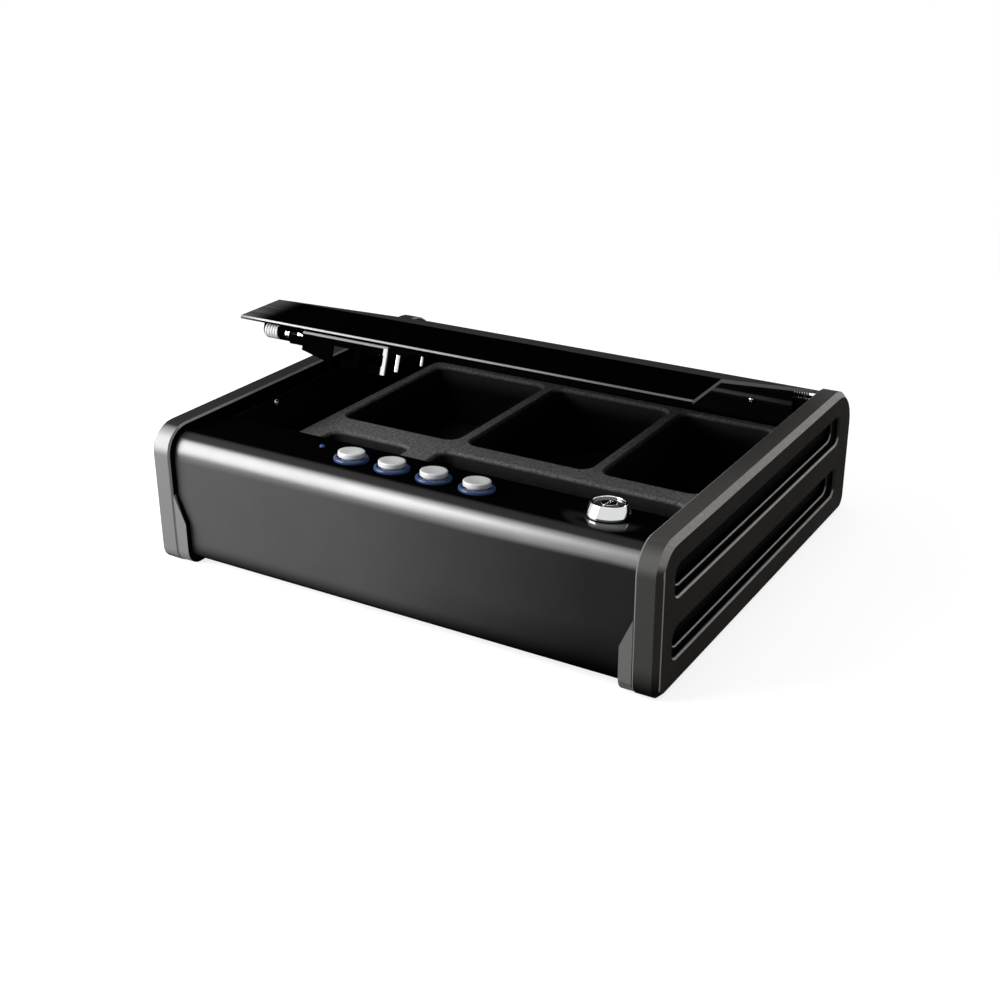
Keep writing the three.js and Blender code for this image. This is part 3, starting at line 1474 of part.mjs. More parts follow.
// The door fills a hole in the floor, with an ear for its screw at the right
function doorOutline(shrink, low, high) {
  const left = holderX - holderInner.x + DOOR_LAND;
  const right = holderX + holderInner.x + HOLDER_WALL + DOOR_EAR;
  const half = holderInner.y - DOOR_LAND;
  const [frontLeft, backRight] = [[left, holderY - half], [right, holderY + half]];
  const points = roundedCorners(frontLeft, backRight, SMALL_BEND, shrink, 3);
  return loft([{ at: low, points }, { at: high, points }], stackZ);
}

const doorScrewX = holderX + holderInner.x + HOLDER_WALL + DOOR_EAR / 2;

function batteryHolder() {
  const low = floorTop + SEAT;
  const { x, y, top } = holderInner;
  const outer = block(
    [holderX - x - HOLDER_WALL, holderY - y - HOLDER_WALL, low],
    [holderX + x + HOLDER_WALL, holderY + y + HOLDER_WALL, top + HOLDER_WALL],
  );
  const room = block(
    [holderX - x, holderY - y, low - OVERRUN],
    [holderX + x, holderY + y, top],
  );
  const boss = block(
    [holderX + x, holderY - DOOR_EAR / 2, low],
    [holderX + x + HOLDER_WALL + DOOR_EAR, holderY + DOOR_EAR / 2, low + SCREW_DEPTH],
  );
  const bore = pillar(SCREW_HOLE, low - OVERRUN, low + SCREW_DEPTH - OVERRUN, 12);
  return cut(join(cut(outer, room), cut(boss, room)), bore.translate(doorScrewX, holderY, 0));
}

function cell(y, z, flip) {
  const body = turnedAlongX([
    [0, 0],
    [CELL_RADIUS, 0],
    [CELL_RADIUS, CELL_LENGTH],
    [CELL_TIP, CELL_LENGTH],
    [CELL_TIP, cellSpan],
    [0, cellSpan],
  ], [-cellSpan / 2, 0, 0], 12);
  return body.scale(flip, 1, 1).translate(holderX, y, z);
}

// Two layers of two cells, each the other way round from its neighbours
function batteries() {
  const low = floorTop + SEAT + CELL_GAP + CELL_RADIUS;
  return [0, 1].flatMap((row) => [-1, 1].map((side) => (
    cell(holderY + side * cellPitch, low + row * 2 * cellPitch, row === 0 ? side : -side)
  )));
}

function batteryDoor() {
  const plate = doorOutline(SEAT, FOOT_HEIGHT, floorTop);
  const hole = pillar(SCREW_HOLE, FOOT_HEIGHT - OVERRUN, floorTop + OVERRUN, 12);
  return cut(plate, hole.translate(doorScrewX, holderY, 0));
}

function doorScrew() {
  const length = SCREW_DEPTH + SHEET - 2 * OVERRUN;
  return screw(length).rotateX(Math.PI).translate(doorScrewX, holderY, FOOT_HEIGHT);
}

function addBatteries() {
  piece('battery_holder', batteryHolder(), BLACK_NYLON);
  batteries().forEach((body, i) => piece(`battery_${i + 1}`, body, CELL_WRAP));
  piece('battery_door', batteryDoor(), PAINTED_STEEL);
  piece('battery_door_screw', doorScrew(), ZINC);
}

// Mat and tray

function floorMat() {
  const low = floorTop + SEAT;
  return block(
    [-wallInner + MAT_MARGIN, deckBack + MAT_MARGIN, low],
    [wallInner - MAT_MARGIN, backSheet - SHEET - WALL_CHAMFER - MAT_MARGIN, low + MAT_SHEET],
  );
}

const trayLow = floorTop + SEAT + MAT_SHEET + SEAT;
const trayRim = HEIGHT - TRAY_RIM_DROP;
const trayHalf = wallInner - TRAY_SIDE_GAP;
const trayFront = deckBack + TRAY_FRONT_GAP;
const trayDepth = backSheet - SHEET - TRAY_BACK_GAP - trayFront;

function pocket([left, right, front, back]) {
  const place = (shareX, shareY) => [
    (2 * shareX - 1) * trayHalf,
    trayFront + shareY * trayDepth,
  ];
  const [low, high] = [place(left, front), place(right, back)];
  const at = (inset) => roundedCorners(low, high, POCKET_RADIUS, inset);
  return loft([
    { at: trayLow + POCKET_FLOOR, points: at(POCKET_DRAFT) },
    { at: trayRim - POCKET_LIP, points: at(0) },
    { at: trayRim + OVERRUN, points: at(-POCKET_LIP - OVERRUN) },
  ], stackZ);
}

function tray() {
  const nearLeft = [-trayHalf, trayFront];
  const farRight = [trayHalf, trayFront + trayDepth];
  const at = (inset) => roundedCorners(nearLeft, farRight, POCKET_RADIUS, inset);
  const body = loft([
    { at: trayLow, points: at(0) },
    { at: trayRim - TRAY_EDGE, points: at(0) },
    { at: trayRim, points: at(TRAY_EDGE) },
  ], stackZ);
  return cut(body, ...pocketShares.map(pocket));
}

function addTray() {
  piece('floor_mat', floorMat(), FOAM);
  piece('compartment_tray', tray(), FELT);
}

addCaps();
addCase();
addHinge();
addLid();
addKeypad();
addLock();
addLatch();
addBatteries();
addTray();

export default safe;
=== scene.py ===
"""A portable car safe, dressed for its photograph.

Metres throughout: X to the right seen from the keypad side, Y to the hinge, Z up. The meshes
that this script makes are measured in millimetres, and their places scale them down.
"""

import json
import math

import bmesh
import bpy
from mathutils import Matrix, Vector

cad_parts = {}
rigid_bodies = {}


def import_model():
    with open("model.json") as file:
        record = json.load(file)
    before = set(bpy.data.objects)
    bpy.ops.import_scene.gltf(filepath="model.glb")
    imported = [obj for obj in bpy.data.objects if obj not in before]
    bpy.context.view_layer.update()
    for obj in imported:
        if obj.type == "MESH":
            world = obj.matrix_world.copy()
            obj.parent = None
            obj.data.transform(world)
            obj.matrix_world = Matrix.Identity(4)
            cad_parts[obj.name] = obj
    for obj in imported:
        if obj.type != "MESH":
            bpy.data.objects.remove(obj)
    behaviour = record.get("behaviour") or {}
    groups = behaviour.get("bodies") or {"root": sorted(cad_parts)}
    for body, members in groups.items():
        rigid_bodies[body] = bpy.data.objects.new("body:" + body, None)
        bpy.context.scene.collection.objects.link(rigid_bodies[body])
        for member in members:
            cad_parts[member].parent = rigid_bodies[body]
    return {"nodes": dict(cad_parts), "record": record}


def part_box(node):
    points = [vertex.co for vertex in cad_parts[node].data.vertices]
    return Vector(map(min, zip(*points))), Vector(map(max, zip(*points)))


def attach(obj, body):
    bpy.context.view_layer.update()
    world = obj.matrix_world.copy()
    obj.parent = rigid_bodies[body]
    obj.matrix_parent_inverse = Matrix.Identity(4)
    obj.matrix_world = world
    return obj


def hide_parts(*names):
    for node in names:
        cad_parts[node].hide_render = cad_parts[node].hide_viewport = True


for old in list(bpy.data.objects):
    bpy.data.objects.remove(old)
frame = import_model()
bpy.context.view_layer.update()
nodes = frame["nodes"]
MM = 0.001

# The photograph's camera: angles in radians, and the lens as a share of the sensor

CAMERA_AZIMUTH = 0.53862
CAMERA_ELEVATION = 0.41897
CAMERA_ROLL = -0.00365
CAMERA_PLACE = Vector((0.39402, -0.67569, 0.36866))
SENSOR = 36.0
FOCAL_SHARE = 1.47676
CLIP_NEAR = 0.02
CLIP_FAR = 40


def make_camera():
    across = math.cos(CAMERA_ELEVATION)
    ahead = Vector((
        -math.sin(CAMERA_AZIMUTH) * across,
        math.cos(CAMERA_AZIMUTH) * across,
        -math.sin(CAMERA_ELEVATION),
    ))
    level = ahead.cross(Vector((0, 0, 1))).normalized()
    upright = level.cross(ahead)
    right = level * math.cos(CAMERA_ROLL) + upright * math.sin(CAMERA_ROLL)
    up = upright * math.cos(CAMERA_ROLL) - level * math.sin(CAMERA_ROLL)
    data = bpy.data.cameras.new("photo_camera")
    data.sensor_width = SENSOR
    data.lens = SENSOR * FOCAL_SHARE
    data.clip_start = CLIP_NEAR
    data.clip_end = CLIP_FAR
    camera = bpy.data.objects.new("photo_camera", data)
    bpy.context.scene.collection.objects.link(camera)
    turn = Matrix((right, up, -ahead)).transposed().to_4x4()
    camera.matrix_world = Matrix.Translation(CAMERA_PLACE) @ turn
    bpy.context.scene.camera = camera


# Node helpers


class Tree:
    """A short way to add nodes and links to one node tree"""

    def __init__(self, tree):
        self.tree = tree
        tree.nodes.clear()

    def add(self, kind, inputs=None, **settings):
        node = self.tree.nodes.new(kind)
        for key, value in settings.items():
            setattr(node, key, value)
        for key, value in (inputs or {}).items():
            self.put(node.inputs[key], value)
        return node

    def put(self, socket, value):
        if isinstance(value, bpy.types.NodeSocket):
            self.tree.links.new(value, socket)
        else:
            socket.default_value = value

    def place(self):
        return self.add("ShaderNodeTexCoord").outputs["Object"]

    def normal(self):
        return self.split(self.add("ShaderNodeTexCoord").outputs["Normal"])

    def split(self, vector):
        return self.add("ShaderNodeSeparateXYZ", {"Vector": vector}).outputs

    def math(self, operation, first, second=0.0):
        node = self.add("ShaderNodeMath", {0: first, 1: second}, operation=operation)
        return node.outputs[0]

    def scaled(self, vector, share):
        node = self.add("ShaderNodeVectorMath", {0: vector, "Scale": share}, operation="SCALE")
        return node.outputs["Vector"]

    def mixed(self, share, first, second):
        """The first where share is zero, and the second where it is one"""
        node = self.add("ShaderNodeMix", data_type="RGBA")
        self.put(node.inputs["Factor"], share)
        self.put(node.inputs["A"], first)
        self.put(node.inputs["B"], second)
        return node.outputs["Result"]

    def noise(self, place, scale, detail=3.0, rough=0.6):
        node = self.add("ShaderNodeTexNoise", {"Vector": place, "Scale": scale,
                                               "Detail": detail, "Roughness": rough})
        return node.outputs["Fac"]

    def stretched(self, place, scales):
        node = self.add("ShaderNodeMapping", {"Vector": place, "Scale": scales})
        return node.outputs["Vector"]

    def bump(self, height, strength, distance, normal=None):
        node = self.add("ShaderNodeBump", {"Height": height, "Strength": strength,
                                           "Distance": distance})
        if normal is not None:
            self.put(node.inputs["Normal"], normal)
        return node.outputs["Normal"]

    def ranged(self, value, low, high, to_low, to_high, smooth=False):
        node = self.add("ShaderNodeMapRange",
                        {"Value": value, "From Min": low, "From Max": high,
                         "To Min": to_low, "To Max": to_high})
        if smooth:
            node.interpolation_type = "SMOOTHSTEP"
        return node.outputs["Result"]

    def rise(self, value, low, high, smooth=False):
        """A mask that is zero up to low and one from high on"""
        return self.ranged(value, low, high, 0.0, 1.0, smooth)

    def fall(self, value, low, high, smooth=False):
        """A mask that is one up to low and zero from high on"""
        return self.ranged(value, low, high, 1.0, 0.0, smooth)

    def inside(self, value, low, high, soft):
        """A mask that is one between low and high, and zero further off than soft"""
        return self.both(self.rise(value, low - soft, low, smooth=True),
                         self.fall(value, high, high + soft, smooth=True))

    def both(self, *masks):
        whole = masks[0]
        for mask in masks[1:]:
            whole = self.math("MULTIPLY", whole, mask)
        return whole

    def either(self, *masks):
        whole = masks[0]
        for mask in masks[1:]:
            whole = self.math("MAXIMUM", whole, mask)
        return whole


def shaded(color, share):
    return tuple(min(c * share, 1.0) for c in color) + (1.0,)


def grey(value):
    return (value, value, value * 1.01, 1.0)


# Most of a noise's values lie in NOISE_SPAN. Depths of bumps are in metres

NOISE_SPAN = (0.3, 0.7)
CLOUD_DETAIL = 4.0
SMUDGE_SIZE = 0.6
SMUDGE_DETAIL = 5.0
BRUSH_SCALE = 90.0
BRUSH_STRENGTH = 0.12
BRUSH_DEPTH = 0.00002
GRAIN_DETAIL = 2.0
GRAIN_ROUGHNESS = 0.7
COAT_ROUGHNESS = 0.12
SHEEN_ROUGHNESS = 0.5


def surface(name, color, rough, metal=0.0, specular=0.5, coat=0.0, patch=0.12,
            patch_scale=60.0, grain=0.0, grain_scale=1500.0, grain_depth=0.00003,
            rough_patch=0.06, brushed=None, sheen=0.0, glow=0.0, paint=None):
    """A plain-coloured material with patches, grain and uneven gloss

    paint may change the tone and the gloss, and say where the surface is metal.
    """
    material = bpy.data.materials.new(name)
    material.use_nodes = True
    t = Tree(material.node_tree)
    place = t.place()
    shader = t.add("ShaderNodeBsdfPrincipled", {
        "Metallic": metal, "Specular IOR Level": specular, "Coat Weight": coat,
        "Coat Roughness": COAT_ROUGHNESS, "Sheen Weight": sheen,
        "Sheen Roughness": SHEEN_ROUGHNESS,
    })
    if glow:
        t.put(shader.inputs["Emission Color"], tuple(color) + (1.0,))
        t.put(shader.inputs["Emission Strength"], glow)
    cloud = t.noise(place, patch_scale, CLOUD_DETAIL)
    tone = t.mixed(cloud, shaded(color, 1 - patch), shaded(color, 1 + patch))
    smudge = t.noise(place, patch_scale * SMUDGE_SIZE, SMUDGE_DETAIL)
    gloss = t.ranged(smudge, *NOISE_SPAN, rough - rough_patch, rough + rough_patch)
    normal = None
    if brushed:
        streak = t.noise(t.stretched(place, brushed), BRUSH_SCALE)
        normal = t.bump(streak, BRUSH_STRENGTH, BRUSH_DEPTH)
    if grain:
        fine = t.noise(place, grain_scale, GRAIN_DETAIL, GRAIN_ROUGHNESS)
        normal = t.bump(fine, grain, grain_depth, normal)
    if paint:
        tone, gloss, metal_share = paint(t, place, tone, gloss)
        if metal_share is not None:
            t.put(shader.inputs["Metallic"], metal_share)
    t.put(shader.inputs["Base Color"], tone)
    t.put(shader.inputs["Roughness"], gloss)
    if normal is not None:
        t.put(shader.inputs["Normal"], normal)
    output = t.add("ShaderNodeOutputMaterial")
    t.put(output.inputs["Surface"], shader.outputs["BSDF"])
    return material


# The paints below give tones to places on the object. In their constants, two numbers are where
# a mask begins to rise or fall and where it ends, three are an inside's low, high and soft, and
# four are a range and the values at its two ends. A tone is a grey's value, or a whole colour

# The front shell: BEND_Y and BEND_Z are its big bend's axis, and angles round it run in radians
# from the front face, at zero, up to the deck

BEND_Y = -0.1161
BEND_Z = 0.0638
BEND_LIT = (-0.09, 0.21)
BEND_UNLIT = (0.84, 1.06)
LEAN_LEFT = (-0.135, 0.05, -0.17, -0.05)
LEAN_RIGHT = (0.05, 0.125, 0.0, 0.19)
OUTER_SIDE = (-0.112, -0.109)
# A painted highlight along the bend: a metallic grey band, whose tone changes from the left end
# to the right
BEND_HIGHLIGHT_CHANGE = (-0.06, 0.075)
BEND_HIGHLIGHT_LEFT = 0.092
BEND_HIGHLIGHT_RIGHT = 0.130
# Painted light: the face's tone is scaled paler at the left and darker at the right
FACE_LIGHT_FALLOFF = (-0.02, 0.115, 1.6, 0.53)
# Painted shade: darker low down towards the right, and a painted shadow along the foot
LOW_SHADE_HEIGHT = (0.004, 0.034)
LOW_SHADE_ALONG = (0.0, 0.12, 0.0, 0.92)
LOW_SHADE_TONE = 0.001
FOOT_SHADOW_HEIGHT = (0.0045, 0.016)
FOOT_SHADOW_TONE = 0.0008
# Painted shade on the bend's shoulder above the highlight, and on the deck
SHOULDER_SHADE = (0.92, 1.06)
SHOULDER_SHADE_TONE = 0.022
DECK = (1.3, 1.6)
DECK_SHADE_TONE = 0.001
DECK_GLOSS = -0.22
# A ring of deck round the lock gets a metallic grey tone so that it reflects the lock: a
# painted reflection
LOCK_MIDDLE = (0.108, -0.096, 0.0735)
REFLECTION_REACH = (0.014, 0.024)
REFLECTION_SIDE = (-0.110, -0.098)
REFLECTION_TONE = 0.04


def front_paint(t, place, tone, gloss):
    """A satin front: painted light across the face and a painted highlight on the bend, painted
    shade at the foot, the shoulder and the deck, and a painted reflection round the lock
    """
    part = t.split(place)
    ahead = t.math("SUBTRACT", BEND_Y, part["Y"])
    up = t.math("SUBTRACT", part["Z"], BEND_Z)
    angle = t.math("ARCTAN2", up, ahead)
    outer = t.fall(part["Y"], *OUTER_SIDE, smooth=True)

    # Painted light: paler at the left, darker at the right
    tone = t.scaled(tone, t.ranged(part["X"], *FACE_LIGHT_FALLOFF))
    lean = t.math("ADD", t.ranged(part["X"], *LEAN_LEFT), t.ranged(part["X"], *LEAN_RIGHT))
    # Painted highlight: a band round the bend, leaning along X, given a metallic grey tone
    lit = t.rise(t.math("SUBTRACT", angle, lean), *BEND_LIT, smooth=True)
    bend_highlight = t.both(lit, t.fall(angle, *BEND_UNLIT, smooth=True), outer)
    sheen = t.mixed(t.rise(part["X"], *BEND_HIGHLIGHT_CHANGE), grey(BEND_HIGHLIGHT_LEFT), grey(BEND_HIGHLIGHT_RIGHT))
    tone = t.mixed(bend_highlight, tone, sheen)

    # Painted shade low down, stronger towards the right, then a painted shadow along the foot
    low_shade = t.both(t.fall(part["Z"], *LOW_SHADE_HEIGHT, smooth=True),
                  t.ranged(part["X"], *LOW_SHADE_ALONG))
    tone = t.mixed(low_shade, tone, grey(LOW_SHADE_TONE))
    foot = t.fall(part["Z"], *FOOT_SHADOW_HEIGHT, smooth=True)
    tone = t.mixed(foot, tone, grey(FOOT_SHADOW_TONE))
    # Painted shade on the shoulder
    shoulder = t.both(t.rise(angle, *SHOULDER_SHADE, smooth=True), outer)
    tone = t.mixed(shoulder, tone, grey(SHOULDER_SHADE_TONE))

    # Painted shade on the deck, which is also glossier
    deck = t.rise(angle, *DECK, smooth=True)
    tone = t.mixed(deck, tone, grey(DECK_SHADE_TONE))
    # Painted reflection: a metallic ring of deck round the lock
    span = t.add("ShaderNodeVectorMath", {0: place, 1: LOCK_MIDDLE}, operation="DISTANCE")
    lock_reflection = t.both(t.fall(span.outputs["Value"], *REFLECTION_REACH, smooth=True), deck,
                    t.fall(part["Y"], *REFLECTION_SIDE, smooth=True))
    tone = t.mixed(lock_reflection, tone, grey(REFLECTION_TONE))
    gloss = t.math("ADD", gloss, t.math("MULTIPLY", deck, DECK_GLOSS))
    return tone, gloss, t.either(bend_highlight, lock_reflection)


# The lid and the strike under it, by the places that they have with the lid shut

OPEN_ANGLE = math.radians(19.3)
HINGE = (0.0, 0.1228, 0.0689)

# Painted highlights on the front cut edge, fading towards the right, and on the ends; the top's
# paler tone is a painted reflection
LID_FRONT = (-0.0768, -0.0764)
LID_CUT_HIGHLIGHT = (0.0612, 0.0614)
LID_CUT_HIGHLIGHT_FADE = (-0.12, 0.10, 0.85, 0.2)
LID_CUT_HIGHLIGHT_TONE = 0.6
LID_FLAT = (-0.0450, -0.0440)
LID_TOP_REFLECTION_TONE = 0.036
LID_ENDS = (0.1368, 0.1370, 0.0, 0.5)
LID_ENDS_HIGHLIGHT_TONE = 0.4
LID_BEVEL = (-0.045, -0.043)
# A streaked painted highlight at the left end of the bevel
BEVEL_HIGHLIGHT_SIDE = (-0.136, -0.118)
HIGHLIGHT_STREAK_SCALES = (6.0, 900.0, 6.0)
HIGHLIGHT_STREAK_DETAIL = 2.0
HIGHLIGHT_STREAK_SPREAD = (0.3, 0.7, 0.3, 1.0)
BEVEL_HIGHLIGHT_TONE = 0.09


def lid_shut(t, place):
    """The place that a point of the opened lid has with the lid shut"""
    return t.split(t.add("ShaderNodeVectorRotate", {
        "Vector": place, "Center": HINGE, "Angle": OPEN_ANGLE,
    }, rotation_type="X_AXIS").outputs["Vector"])


def lid_paint(t, place, tone, gloss):
    """Black paint with painted highlights on the cut edges and the ends, a painted reflection
    on the top, and a streaked painted highlight at the bevel's left end
    """
    part = lid_shut(t, place)
    # Painted reflection on the lid's top
    tone = t.mixed(t.rise(part["Y"], *LID_FLAT), tone, grey(LID_TOP_REFLECTION_TONE))
    # Painted highlight on the front cut edge
    cut_highlight = t.both(t.fall(part["Y"], *LID_FRONT), t.rise(part["Z"], *LID_CUT_HIGHLIGHT),
                 t.ranged(part["X"], *LID_CUT_HIGHLIGHT_FADE))
    tone = t.mixed(cut_highlight, tone, grey(LID_CUT_HIGHLIGHT_TONE))
    # Painted highlight on the lid's ends
    lit_ends = t.ranged(t.math("ABSOLUTE", part["X"]), *LID_ENDS)
    tone = t.mixed(lit_ends, tone, grey(LID_ENDS_HIGHLIGHT_TONE))
    # Painted highlight in streaks at the bevel's left end
    streaks = t.noise(t.stretched(place, HIGHLIGHT_STREAK_SCALES), 1.0, HIGHLIGHT_STREAK_DETAIL)
    bevel_highlight = t.both(t.fall(part["X"], *BEVEL_HIGHLIGHT_SIDE, smooth=True),
                       t.fall(part["Y"], *LID_BEVEL), t.ranged(streaks, *HIGHLIGHT_STREAK_SPREAD))
    return t.mixed(bevel_highlight, tone, grey(BEVEL_HIGHLIGHT_TONE)), gloss, None


# Painted highlights on the strike's top bend, its return and its nose
STRIKE_FRONT = (-0.0746, -0.0742)
STRIKE_BEND = (0.0588, 0.0597, 0.0003)
STRIKE_BEND_FRONT = (-0.0735, -0.0730)
STRIKE_RETURN = (-0.0406, -0.0403)
STRIKE_RETURN_TOP = (0.0590, 0.0594)
STRIKE_EAR = (-0.0985, -0.0980)
STRIKE_NOSE = (-0.1015, -0.0935, 0.0006)
STRIKE_NOSE_TOP = (0.0517, 0.0520)
STRIKE_BEND_HIGHLIGHT_TONE = 0.25
STRIKE_HIGHLIGHT_TONE = 0.5


def strike_paint(t, place, tone, gloss):
    """Black, with painted highlights on the top bend, the return and the nose"""
    part = lid_shut(t, place)
    front = t.fall(part["Y"], *STRIKE_FRONT)
    bend_highlight = t.both(t.inside(part["Z"], *STRIKE_BEND), t.fall(part["Y"], *STRIKE_BEND_FRONT))
    turned_back = t.both(t.rise(part["X"], *STRIKE_RETURN), front,
                         t.fall(part["Z"], *STRIKE_RETURN_TOP))
    beyond_ear = t.rise(part["X"], *STRIKE_EAR)
    nose = t.both(t.inside(part["X"], *STRIKE_NOSE), front,
                  t.fall(part["Z"], *STRIKE_NOSE_TOP))
    # Painted highlights where the bends catch light
    highlighted = t.either(t.both(t.either(bend_highlight, turned_back), beyond_ear), nose)
    # Grey tones of the painted highlights
    metal = t.mixed(bend_highlight, grey(STRIKE_HIGHLIGHT_TONE), grey(STRIKE_BEND_HIGHLIGHT_TONE))
    return t.mixed(highlighted, tone, metal), gloss, None


RIB_PITCH = 0.0018
SLEEVE_END = -0.121
RIB_VALLEY = (-0.6, 0.2, 0.75, 0.0)
RIB_SHADE_TONE = 0.08


def ribbed_paint(t, place, tone, gloss):
    """Painted shade darkens the sleeve's grooves"""
    per_metre = 2 * math.pi / RIB_PITCH
    along = t.math("MULTIPLY", t.split(place)["X"], per_metre)
    wave = t.math("SINE", t.math("ADD", along, -SLEEVE_END * per_metre - math.pi / 2))
    valley = t.ranged(wave, *RIB_VALLEY, smooth=True)
    return t.mixed(valley, tone, grey(RIB_SHADE_TONE)), gloss, None


# Painted highlight on the bar's upper shoulder, fading along X
BAR_SHOULDER = (0.45, 0.7, 0.3)
BAR_AHEAD = (0.2, 0.4)
BAR_FADE = (0.07, 0.12, 1.0, 0.25)
BAR_HIGHLIGHT_TONE = 0.16


def bar_paint(t, place, tone, gloss):
    """A half-round bar with a painted highlight along its upper shoulder"""
    normal = t.normal()
    ahead = t.math("MULTIPLY", normal["Y"], -1.0)
    shoulder = t.both(t.inside(normal["Z"], *BAR_SHOULDER), t.rise(ahead, *BAR_AHEAD),
                      t.ranged(t.split(place)["X"], *BAR_FADE))
    return t.mixed(shoulder, tone, grey(BAR_HIGHLIGHT_TONE)), gloss, None


# The end caps. A side is a distance from the middle plane. Directions are shares of a face's
# normal: across is along X, ahead is towards the front, and up is up

CAP_INNER = 0.1400
CAP_FACE = 0.1532
CAP_FRONT_EDGE = -0.1291
LEFT_TO_RIGHT = (-0.1, 0.1)

# Painted light: the tops and fronts of the two caps get their own tones, as the light falls
# otherwise on each, and their top rounds a painted highlight
LEVEL_UP = (0.85, 0.95)
TOP_LEFT_LIGHT_TONE = (0.018, 0.018, 0.0175, 1)
TOP_RIGHT_LIGHT_TONE = (0.056, 0.053, 0.05, 1)
FRONT_AHEAD = (0.3, 0.5)
FRONT_ACROSS = (0.3, 0.5)
FRONT_LEFT_LIGHT_TONE = (0.13, 0.13, 0.13, 1)
FRONT_RIGHT_LIGHT_TONE = (0.052, 0.052, 0.05, 1)
SHINE_UP = (0.40, 0.60, 0.35)
SHINE_LEFT_HIGHLIGHT_TONE = (0.33, 0.33, 0.328, 1)
SHINE_RIGHT_HIGHLIGHT_TONE = (0.10, 0.10, 0.098, 1)

# Painted shade: the grooves' floors and the caps' inner sides are near black
GROOVE_ROWS = ((0.0150, 0.0338), (0.0480, 0.0668))
GROOVE_LENGTH = (-0.117, 0.1115, 0.0006)
GROOVE_SOFT = 0.0006
GROOVE_MOUTH = (0.15215, 0.15245)
GROOVE_FLOOR = (0.1435, 0.1440)
GROOVE_SHADE_TONE = 0.001
INNER_SIDE = (0.1403, 0.1406)
INNER_ACROSS = (0.8, 0.95)
INNER_SHADE_TONE = 0.002

# Painted light on the chamfers: a tone where they look ahead, and pale painted highlights,
# mottled by noise, where they look up
UPRIGHT_CHAMFER = (0.25, 0.42)
UPRIGHT_LIGHT_TONE = (0.05, 0.048, 0.046, 1)
UPPER_CHAMFER = (0.12, 0.30)
HIGHLIGHT_MOTTLE_SCALE = 500.0
HIGHLIGHT_MOTTLE_DETAIL = 5.0
HIGHLIGHT_MOTTLE_SPREAD = (0.3, 0.7, 0.75, 1.0)
RIM_HEIGHT = (0.069, 0.070)
RIM_FRONT = (-0.118, -0.1175)
RIM_HIGHLIGHT_TONE = (0.43, 0.41, 0.395, 1)
STEP_LOW = 0.0036
STEP_HIGH = 0.0125
STEP_SOFT = 0.0004
STEP_SIDE = (0.1506, 0.1512, 0.0001)
LIP_SIDE = (0.1526, 0.1528)
LIP_HIGHLIGHT_TONE = (0.60, 0.575, 0.55, 1)
INNER_CHAMFER = (0.1412, 0.1414)
INNER_CHAMFER_HIGHLIGHT_TONE = (0.29, 0.285, 0.28, 1)

# Painted shade at the foot, a painted highlight line by the front edge, and painted light on
# the foot tab
SHADE_RIGHT_HEIGHT = (0.003, 0.020)
SHADE_RIGHT_ACROSS = (0.85, 0.95)
SHADE_LEFT_HEIGHT = (0.001, 0.006)
SHADE_TONE = 0.003
LINE_FRONT = (CAP_FRONT_EDGE, CAP_FRONT_EDGE + 0.0007, 0.0003)
LINE_SIDE = (CAP_FACE - 0.0002, CAP_FACE)
LINE_HEIGHT = (0.008, 0.068, 0.003)
LINE_HIGHLIGHT_TONE = (0.40, 0.385, 0.37, 1)
TAB_EDGE = (0.90, 0.97)
TAB_EDGE_SIDE = (CAP_INNER + 0.0010, CAP_INNER + 0.0012)
TAB_EDGE_FRONT = (-0.118, -0.116)
TAB_EDGE_AHEAD = (0.2, 0.3)
TAB_EDGE_HIGHLIGHT_TONE = (0.15, 0.15, 0.148, 1)
TAB_SIDE = (CAP_INNER - 0.0004, CAP_INNER - 0.0002)
TAB_AHEAD = (0.9, 0.95)
TAB_HEIGHT = (0.002, 0.008)
TAB_LIGHT_TONE = (0.14, 0.14, 0.138, 1)


class CapPoint:
    """Where a point of an end cap lies, and which way its face looks"""

    def __init__(self, t, place):
        part = t.split(place)
        normal = t.normal()
        self.y = part["Y"]
        self.height = part["Z"]
        self.side = t.math("ABSOLUTE", part["X"])
        self.left = t.fall(part["X"], *LEFT_TO_RIGHT)
        self.across = t.math("ABSOLUTE", normal["X"])
        self.ahead = t.math("MULTIPLY", normal["Y"], -1.0)
        self.up = normal["Z"]


def cap_faces(t, at, tone):
    """The tops and fronts in painted light: the left cap's front is paler and its top darker
    than the right cap's, and the fronts' top rounds carry a painted highlight
    """
    level = t.rise(at.up, *LEVEL_UP)
    tone = t.mixed(level, tone, t.mixed(at.left, TOP_RIGHT_LIGHT_TONE, TOP_LEFT_LIGHT_TONE))
    front = t.both(t.rise(at.ahead, *FRONT_AHEAD), t.fall(at.across, *FRONT_ACROSS))
    tone = t.mixed(front, tone, t.mixed(at.left, FRONT_RIGHT_LIGHT_TONE, FRONT_LEFT_LIGHT_TONE))
    shine = t.both(front, t.inside(at.up, *SHINE_UP))
    return t.mixed(shine, tone, t.mixed(at.left, SHINE_RIGHT_HIGHLIGHT_TONE, SHINE_LEFT_HIGHLIGHT_TONE))


def cap_hollows(t, at, tone):
    """Painted shade in the grooves and on the inner side"""
    rows = [t.inside(at.height, low, high, GROOVE_SOFT) for low, high in GROOVE_ROWS]
    groove = t.both(t.inside(at.y, *GROOVE_LENGTH), t.fall(at.side, *GROOVE_MOUTH),
                    t.rise(at.side, *GROOVE_FLOOR), t.either(*rows))
    tone = t.mixed(groove, tone, grey(GROOVE_SHADE_TONE))
    inner = t.both(t.fall(at.side, *INNER_SIDE), t.rise(at.across, *INNER_ACROSS))
    return t.mixed(inner, tone, grey(INNER_SHADE_TONE))


